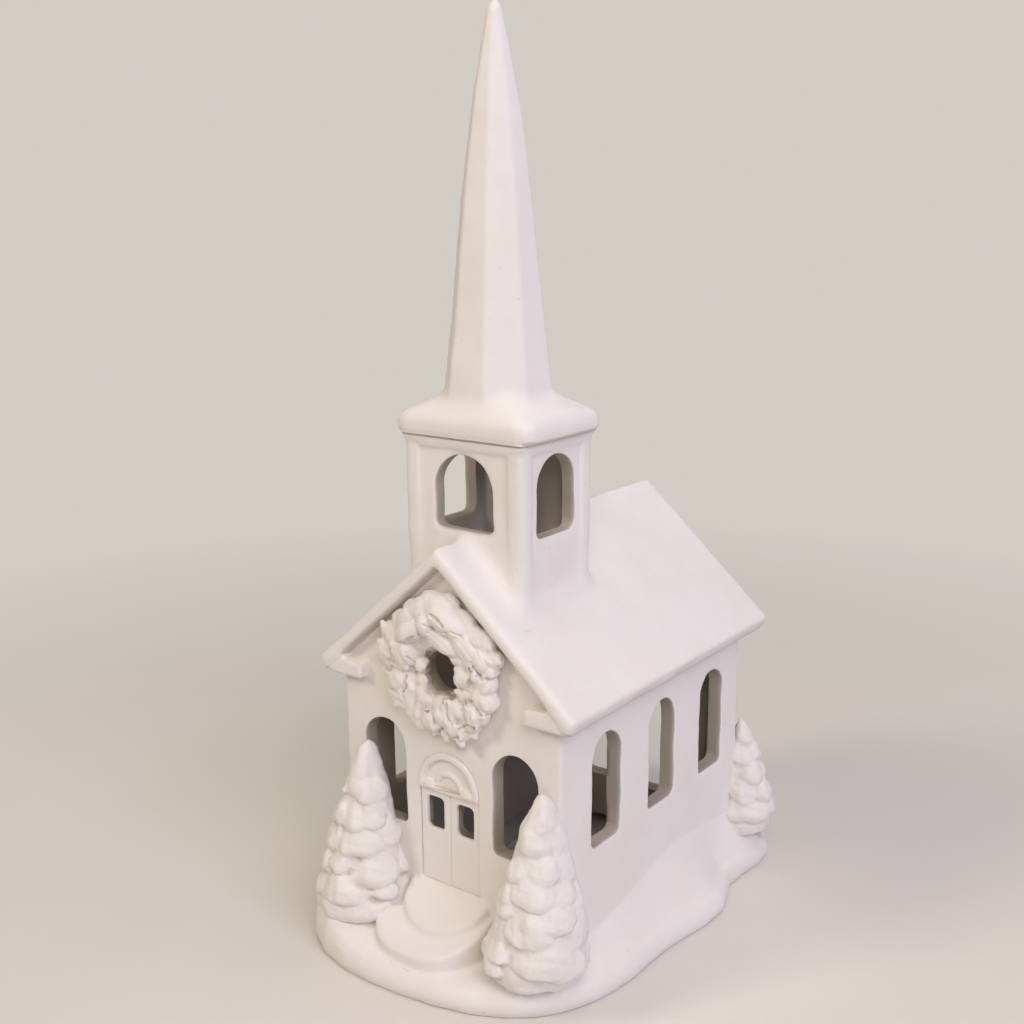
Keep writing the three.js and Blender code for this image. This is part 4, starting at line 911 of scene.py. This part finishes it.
# %% [markdown]
# ## The clay's recipe
# One recipe makes all three finishes, because it is one clay: only the painted shade in the creases
# and the tooth differ. The steps go from the body outwards: clouds, grain, painted crease shade,
# specks, then the painted brown shade of the inside. Two bumps follow, a soft one for the sponge's
# marks and a fine one for the tooth.

# %% Bisque finish
def add_node(tree, kind, **settings):
    made = tree.nodes.new(kind)
    for key, value in settings.items():
        setattr(made, key, value)
    return made


class Recipe:
    """Short ways to add the few kinds of node that the clay needs."""

    def __init__(self, name):
        self.finish = bpy.data.materials.new(name)
        self.finish.use_nodes = True
        self.tree = self.finish.node_tree
        self.shader = self.tree.nodes["Principled BSDF"]
        self.link = self.tree.links.new
        self.place = add_node(self.tree, "ShaderNodeTexCoord").outputs["Object"]

    def noise(self, scale, detail=4, rough=0.6):
        made = add_node(self.tree, "ShaderNodeTexNoise")
        self.link(self.place, made.inputs["Vector"])
        made.inputs["Scale"].default_value = scale
        made.inputs["Detail"].default_value = detail
        made.inputs["Roughness"].default_value = rough
        return made.outputs["Fac"]

    def span(self, source, low, high, first=0.0, second=1.0):
        made = add_node(self.tree, "ShaderNodeMapRange")
        self.link(source, made.inputs["Value"])
        ends = {"From Min": low, "From Max": high, "To Min": first, "To Max": second}
        for key, value in ends.items():
            made.inputs[key].default_value = value
        return made.outputs["Result"]

    def vertex(self, name):
        return add_node(self.tree, "ShaderNodeAttribute", attribute_name=name).outputs["Fac"]

    def tint(self, below, colour, amount, how="MIX"):
        """Lays a colour over what is below it, as far as the amount says."""
        made = add_node(self.tree, "ShaderNodeMix", data_type="RGBA", blend_type=how)
        self.link(amount, made.inputs["Factor"])
        if isinstance(below, tuple):
            made.inputs["A"].default_value = (*below, 1)
        else:
            self.link(below, made.inputs["A"])
        made.inputs["B"].default_value = (*colour, 1)
        return made.outputs["Result"]

    def bump(self, source, strength, distance, under=None):
        made = add_node(self.tree, "ShaderNodeBump")
        made.inputs["Strength"].default_value = strength
        made.inputs["Distance"].default_value = distance
        self.link(source, made.inputs["Height"])
        if under:
            self.link(under, made.inputs["Normal"])
        return made.outputs["Normal"]


def bisque(name, crease_shade_colour, tooth):
    made = Recipe(name)
    clay = (0.815, 0.785, 0.755)
    clouds = made.span(made.noise(38, 3), 0.38, 0.68)
    body = made.tint(clay, tuple(c * s for c, s in zip(clay, (0.975, 0.96, 0.945))), clouds)
    grain = made.span(made.noise(1100, 2), 0.35, 0.7, 0, 0.4)
    body = made.tint(body, tuple(0.94 * c for c in clay), grain)
    # Painted shade, darker in the creases and under the overhangs.
    body = made.tint(body, crease_shade_colour, made.span(made.vertex("crease_shade"), 0.12, 0.9, 0, 0.85))
    specks = made.span(made.noise(760, 1), 0.775, 0.80, 0, 0.45)
    body = made.tint(body, (0.40, 0.35, 0.30), specks)
    # Painted brown shade on the inside and in recesses.
    body = made.tint(body, (0.36, 0.30, 0.24), made.span(made.vertex("indoor_shade"), 0.0, 1.0, 0, 0.8))
    made.link(body, made.shader.inputs["Base Color"])
    made.link(made.span(made.noise(120, 3), 0.3, 0.7, 0.76, 0.95), made.shader.inputs["Roughness"])
    made.shader.inputs["Specular IOR Level"].default_value = 0.22
    soft = made.bump(made.noise(160, 3), 0.25, 0.0006)
    made.link(made.bump(made.noise(1500, 3, 0.7), 0.4, tooth, soft), made.shader.inputs["Normal"])
    return made.finish


# The second value is the colour of the painted shade in the creases.
walls_finish = bisque("bisque_walls", (0.50, 0.42, 0.35), 0.00015)
snow_finish = bisque("bisque_snow", (0.54, 0.47, 0.41), 0.00012)
relief_finish = bisque("bisque_relief", (0.47, 0.385, 0.32), 0.00013)
print("finishes:", [m.name for m in (walls_finish, snow_finish, relief_finish)])

# %% [markdown]
# ## Dressing the pieces
# Each piece gets the finish of its solid's slot in the record, rides on the church, and takes its
# solid's place. Flat parts stay flat and only corners sharper than 38 degrees are shaded hard.

# %% Dress the pieces
record_slots = {s["node"]: s["material_slot"] for s in frame["record"]["subparts"]}
finishes = {
    "bisque_walls": walls_finish, "bisque_snow": snow_finish, "bisque_relief": relief_finish,
}
for name, piece in pieces.items():
    piece.name = name + "_clay"
    piece.data.materials.clear()
    piece.data.materials.append(finishes[record_slots[name]])
    smooth_shade(piece)
    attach(piece, "church")
    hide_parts(name)
print("dressed", len(pieces), "pieces")

# %% [markdown]
# ## The tea light
# A standard light in a pressed foil cup. Its three solids are turned round and true, so they stay
# and only take a finish: brushed foil that catches light in rings, wax that lets a little light
# in, and a wick with the slant of its braid and a burnt tip.

# %% Tea light finishes
foil = Recipe("pressed_foil")
foil.shader.inputs["Metallic"].default_value = 1.0
rings = add_node(foil.tree, "ShaderNodeTexWave", wave_type="BANDS", bands_direction="Z")
foil.link(foil.place, rings.inputs["Vector"])
rings.inputs["Scale"].default_value = 420
rings.inputs["Distortion"].default_value = 1.5
foil.link(foil.tint((0.74, 0.75, 0.76), (0.62, 0.63, 0.645), foil.noise(300)),
          foil.shader.inputs["Base Color"])
foil.link(foil.span(foil.noise(500), 0.3, 0.7, 0.26, 0.42), foil.shader.inputs["Roughness"])
foil.link(foil.bump(rings.outputs["Fac"], 0.2, 0.0002), foil.shader.inputs["Normal"])

wax = Recipe("paraffin_wax")
wax.shader.inputs["Subsurface Weight"].default_value = 0.25
wax.shader.inputs["Subsurface Radius"].default_value = (0.004, 0.003, 0.002)
wax.link(wax.tint((0.88, 0.85, 0.78), (0.81, 0.77, 0.68), wax.span(wax.noise(110), 0.35, 0.7)),
         wax.shader.inputs["Base Color"])
wax.link(wax.span(wax.noise(220), 0.3, 0.7, 0.32, 0.5), wax.shader.inputs["Roughness"])
wax.link(wax.bump(wax.noise(260), 0.3, 0.0004), wax.shader.inputs["Normal"])

wick = Recipe("braided_wick")
braid = add_node(wick.tree, "ShaderNodeTexWave", wave_type="BANDS", bands_direction="DIAGONAL")
wick.link(wick.place, braid.inputs["Vector"])
braid.inputs["Scale"].default_value = 620
height = add_node(wick.tree, "ShaderNodeSeparateXYZ")
wick.link(wick.place, height.inputs["Vector"])
cotton = wick.tint((0.83, 0.79, 0.70), (0.66, 0.61, 0.52), braid.outputs["Fac"])
burnt = wick.span(height.outputs["Z"], 0.0172, 0.0192)
wick.link(wick.tint(cotton, (0.05, 0.04, 0.035), burnt), wick.shader.inputs["Base Color"])
wick.link(wick.bump(braid.outputs["Fac"], 0.6, 0.0003), wick.shader.inputs["Normal"])
wick.shader.inputs["Roughness"].default_value = 0.9

for name, finish in (("tea_light_cup", foil), ("tea_light_wax", wax), ("tea_light_wick", wick)):
    nodes[name].data.materials.clear()
    nodes[name].data.materials.append(finish.finish)
print("tea light dressed")

# %% [markdown]
# ## Table and backdrop
# A plain pale sheet with no horizon. A real studio sweeps paper up behind the object. A sheet that
# curves up would hide the church from behind, so the level sheet turns, away from the lantern,
# into the same pale tone as the world, and only the part near the lantern takes its shadow.

# %% Floor
def any_ray(tree, first, *others):
    """1 where the ray that looks is of one of these kinds, 0 for the light on the clay."""
    paths = add_node(tree, "ShaderNodeLightPath").outputs
    found = paths[first]
    for kind in others:
        either = add_node(tree, "ShaderNodeMath", operation="MAXIMUM")
        tree.links.new(found, either.inputs[0])
        tree.links.new(paths[kind], either.inputs[1])
        found = either.outputs["Value"]
    return found


PALE = (0.640, 0.608, 0.560)
FLOOR_RADIUS = 7000
turns = [2 * math.pi * k / 64 for k in range(64)]
floor = prism("floor", [(FLOOR_RADIUS * math.cos(t), FLOOR_RADIUS * math.sin(t)) for t in turns],
              -20, 0, 2)
sheet = Recipe("pale_sheet")
mottle = sheet.span(sheet.noise(6), 0.3, 0.7)
sheet.link(sheet.tint((0.735, 0.705, 0.655), (0.705, 0.675, 0.625), mottle),
           sheet.shader.inputs["Base Color"])
sheet.shader.inputs["Roughness"].default_value = 0.9
sheet.link(sheet.bump(sheet.noise(260), 0.12, 0.0004), sheet.shader.inputs["Normal"])
reach = add_node(sheet.tree, "ShaderNodeVectorMath", operation="LENGTH")
sheet.link(sheet.place, reach.inputs[0])
away = sheet.span(reach.outputs["Value"], 0.16, 0.62)
both = add_node(sheet.tree, "ShaderNodeMath", operation="MULTIPLY")
sheet.link(away, both.inputs[0])
sheet.link(any_ray(sheet.tree, "Is Camera Ray", "Is Glossy Ray"), both.inputs[1])
glow = add_node(sheet.tree, "ShaderNodeEmission")
glow.inputs["Color"].default_value = (*PALE, 1)
blend = add_node(sheet.tree, "ShaderNodeMixShader")
sheet.link(both.outputs["Value"], blend.inputs["Fac"])
sheet.link(sheet.shader.outputs["BSDF"], blend.inputs[1])
sheet.link(glow.outputs["Emission"], blend.inputs[2])
sheet.link(blend.outputs["Shader"], sheet.tree.nodes["Material Output"].inputs["Surface"])
floor.data.materials.append(sheet.finish)
print("floor laid")

# %% [markdown]
# ## Light
# Five broad soft lamps. A warm one from the upper front left lights the facade and throws the
# wreath's shadow down to the right, and a wide one overhead makes the snow the brightest. A large
# warm one fills in from the front right, and two cool ones light the side wall and the roof from
# the right and from behind. The world is nearly dark to the clay, so that the inside stays deep.

# %% Lamps
def lamp(name, place, aim, size, power, colour):
    made = bpy.data.objects.new(name, bpy.data.lights.new(name, "AREA"))
    bpy.context.scene.collection.objects.link(made)
    made.location = place
    made.rotation_euler = (Vector(aim) - Vector(place)).to_track_quat("-Z", "Y").to_euler()
    made.data.size = size
    made.data.energy = power
    made.data.color = colour
    return made


middle = (0, 0, 0.14)
lamp("overhead", (0.1, 0.2, 1.6), middle, 1.2, 8.7, (1.0, 0.955, 0.935))
lamp("front_left", (-0.75, -1.2, 1.05), middle, 0.42, 9.2, (1.0, 0.89, 0.76))
lamp("front_right", (0.9, -1.0, 1.3), middle, 0.9, 11.8, (1.0, 0.9, 0.78))
lamp("right_side", (1.35, -0.45, 0.9), middle, 0.8, 10.6, (0.74, 0.74, 1.0))
lamp("right_rear", (1.5, 0.75, 0.75), middle, 0.9, 2.5, (0.70, 0.76, 1.0))
world = bpy.data.worlds.new("room")
bpy.context.scene.world = world
world.use_nodes = True
room = world.node_tree
fill = room.nodes["Background"]
fill.inputs["Color"].default_value = (1.0, 0.9, 0.8, 1)
fill.inputs["Strength"].default_value = 0.05
backdrop = add_node(room, "ShaderNodeBackground")
backdrop.inputs["Color"].default_value = (*PALE, 1)
either = add_node(room, "ShaderNodeMixShader")
seen = any_ray(room, "Is Camera Ray", "Is Glossy Ray", "Is Transmission Ray")
room.links.new(seen, either.inputs["Fac"])
room.links.new(fill.outputs["Background"], either.inputs[1])
room.links.new(backdrop.outputs["Background"], either.inputs[2])
room.links.new(either.outputs["Shader"], room.nodes["World Output"].inputs["Surface"])
print("lamps and world set")

# %% [markdown]
# ## Update
# Easing must not change the church's size. The view layer is brought up to date at the end.

# %% Update
bpy.context.view_layer.update()
